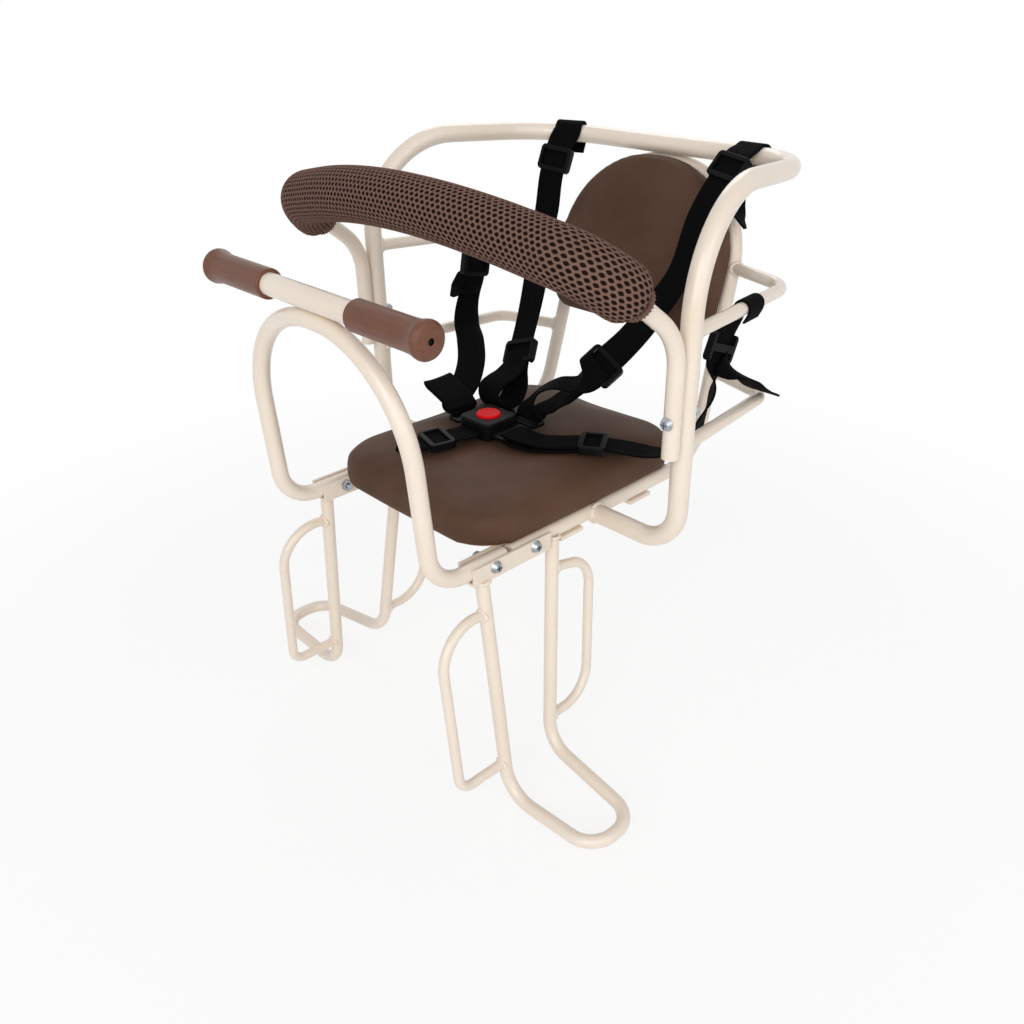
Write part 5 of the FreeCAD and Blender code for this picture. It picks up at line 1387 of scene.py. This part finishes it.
@dataclass
class Strap:
    """One length of flat webbing along rows of points and outward faces; a loose end is cut to a point."""

    name: str
    rows: Array
    held: Held
    nodes: tuple[str, ...] = ()
    pointed: float = 0.0
    tip: float = 0.2
    width: float = 25.0
    thickness: float = 1.6
    step: float = 2.0
    edge_points: int = 5
    face_points: int = 9

    def section(self) -> Array:
        """Give the strap's cut: flat faces and rounded edges.

        Returns:
            Points round the cut by 2, across the strap and out of its face.
        """
        thick = self.thickness / 2
        flat = self.width / 2 - thick
        turn = np.linspace(-math.pi / 2, math.pi / 2, self.edge_points)
        right = np.stack([flat + thick * np.cos(turn), thick * np.sin(turn)], axis=-1)
        face = np.linspace(flat, -flat, self.face_points + 2)[1:-1]
        top = np.stack([face, np.full_like(face, thick)], axis=-1)
        return np.concatenate([right, top, -right, -top])

    def build(self) -> None:
        """Carry the cut along the rows, its width square to way and face, and close both ends."""
        rows = spline(self.rows, self.step)
        path = rows[:, :3]
        far = running_length(path)
        along = unit(np.gradient(path, axis=0))
        across = unit(np.cross(along, rows[:, 3:]))
        out = np.cross(across, along)
        share = np.ones_like(far)
        if self.pointed:
            share = np.clip(self.tip + (1 - self.tip) * (far[-1] - far) / self.pointed, 0.0, 1.0)
        cut = self.section()
        points = (path[:, None] + across[:, None] * cut[None, :, :1] * share[:, None, None]
                  + out[:, None] * cut[None, :, 1:])
        run = np.pad(far, 1, mode="edge")
        uv = np.stack(np.broadcast_arrays(cut[None, :, 0], run[:, None]), axis=-1)
        piece = grid_object(self.name, capped(points, path), uv, wrap_columns=True)
        weld(piece)
        dress(piece, Slot.WEBBING, *self.nodes)


@dataclass
class Harness:
    """The straps of the harness, their doubled lengths and their loose ends."""

    tail_point: float = 12.0

    def build(self) -> None:
        """Make every strap."""
        for name, route, held, node in (
                ("left_shoulder_webbing", LEFT_SHOULDER, Held.HUNG, "shoulder_strap_left"),
                ("right_shoulder_webbing", RIGHT_SHOULDER, Held.HUNG, "shoulder_strap_right"),
                ("left_waist_webbing", LEFT_WAIST, Held.HUNG, "waist_strap_left"),
                ("right_waist_webbing", RIGHT_WAIST, Held.HUNG, "waist_strap_right"),
                ("crotch_webbing", CROTCH, Held.LAID, "crotch_strap")):
            Strap(name, route.carried(), held, (node,)).build()
        for name, rows, held in (
                ("left_shoulder_loop", LEFT_SHOULDER_LOOP, Held.HUNG),
                ("right_shoulder_loop", RIGHT_SHOULDER_LOOP, Held.HUNG),
                ("right_waist_loop", RIGHT_WAIST_LOOP, Held.FOLDED),
                ("left_waist_return", LEFT_WAIST_RETURN, Held.LAID)):
            Strap(name, np.array(rows), held).build()
        for name, rows in (
                ("left_waist_tail", LEFT_TAIL), ("right_waist_tail", RIGHT_TAIL),
                ("left_shoulder_tail", LEFT_SHOULDER_TAIL)):
            Strap(name, np.array(rows), Held.HUNG, pointed=self.tail_point).build()


@dataclass
class Studio:
    """Pale floor, soft lamps, white surround and the photograph's camera."""

    floor_height: float = -198.0
    floor_size: float = 8000.0
    camera_place: Point = (538.9, -524.6, 380.9)
    azimuth: float = 45.8
    elevation: float = 28.48
    roll: float = -0.51
    lens: float = 34.6
    shift: tuple[float, float] = (-0.0094, -0.0058)
    surround: float = 0.5
    target: Point = (0.0, 0.0, 60.0)
    sensor: float = 36.0
    clip_start: float = 10.0
    lamps: tuple[tuple[str, Point, float, float], ...] = (
        ("key_softbox", (1000.0, -1700.0, 1000.0), 1500.0, 21.0),
        ("fill_softbox", (1900.0, -300.0, 900.0), 1400.0, 9.0),
        ("back_softbox", (-1200.0, 1300.0, 1500.0), 1200.0, 8.0))

    def build(self) -> None:
        """Make the whole set."""
        self.floor()
        self.world()
        for lamp in self.lamps:
            self.lamp(*lamp)
        self.camera()
        bpy.context.scene.view_settings.view_transform = "Standard"
        LOG.info("studio set")

    def floor(self) -> None:
        """Lay the floor just under the footrests."""
        edge = np.linspace(-self.floor_size / 2, self.floor_size / 2, 3)
        x, y = np.meshgrid(edge, edge)
        points = np.stack([x, y, np.full_like(x, self.floor_height)], axis=-1)
        piece = grid_object("studio_floor", points)
        piece.data.materials.append(PaleFloor("white_studio_paper", "#F4F4F2", 0.9).material())

    def world(self) -> None:
        """Light the set evenly, and show plain white behind it to camera, mirror and glass rays."""
        world = bpy.data.worlds.new("studio_surround")
        world.use_nodes = True
        tree = world.node_tree
        tree.nodes.clear()
        level = add_node(tree, "MapRange", {
            "Value": shown_rays(tree), "To Min": self.surround, "To Max": 1.0})
        glow = add_node(tree, "Background", {"Color": WHITE, "Strength": level})
        out = add_node(tree, "OutputWorld", {"Surface": glow})
        out.is_active_output = True
        bpy.context.scene.world = world

    def lamp(self, name: str, place: Point, size: float, power: float) -> None:
        """Hang a square softbox that looks at the seat.

        Args:
            name: Name of the lamp.
            place: Where it hangs, in millimetres.
            size: Side of the softbox in millimetres.
            power: Watts.
        """
        light = bpy.data.lights.new(name, "AREA")
        light.shape = "SQUARE"
        light.size = size * MM
        light.energy = power
        lamp = bpy.data.objects.new(name, light)
        bpy.context.scene.collection.objects.link(lamp)
        lamp.location = Vector(place) * MM
        aim = Vector(self.target) * MM - lamp.location
        lamp.rotation_euler = aim.to_track_quat("-Z", "Y").to_euler()

    def camera(self) -> None:
        """Set the camera where the photograph was taken from."""
        az = math.radians(self.azimuth)
        el = math.radians(self.elevation)
        roll = math.radians(self.roll)
        back = Vector((math.sin(az) * math.cos(el), -math.cos(az) * math.cos(el), math.sin(el)))
        right = Vector((math.cos(az), math.sin(az), 0.0))
        up = back.cross(right)
        turned_right = right * math.cos(roll) + up * math.sin(roll)
        turned_up = up * math.cos(roll) - right * math.sin(roll)
        data = bpy.data.cameras.new("photo_camera")
        data.sensor_width = self.sensor
        data.lens = self.lens
        data.shift_x, data.shift_y = self.shift
        data.clip_start = self.clip_start * MM
        camera = bpy.data.objects.new("photo_camera", data)
        bpy.context.scene.collection.objects.link(camera)
        turn = Matrix((turned_right, turned_up, back)).transposed().to_4x4()
        camera.matrix_world = Matrix.Translation(Vector(self.camera_place) * MM) @ turn
        bpy.context.scene.camera = camera


def main() -> None:
    """Dress the frame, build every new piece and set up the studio."""
    logging.basicConfig(level=logging.INFO, format="%(name)s: %(message)s")
    for group in (Tubework(), Welds(), Upholstery(), GuardSleeve(), HandleGrips(), ButtonSpring(), Harness(),
                  Studio()):
        group.build()


if __name__ == "__main__":
    main()
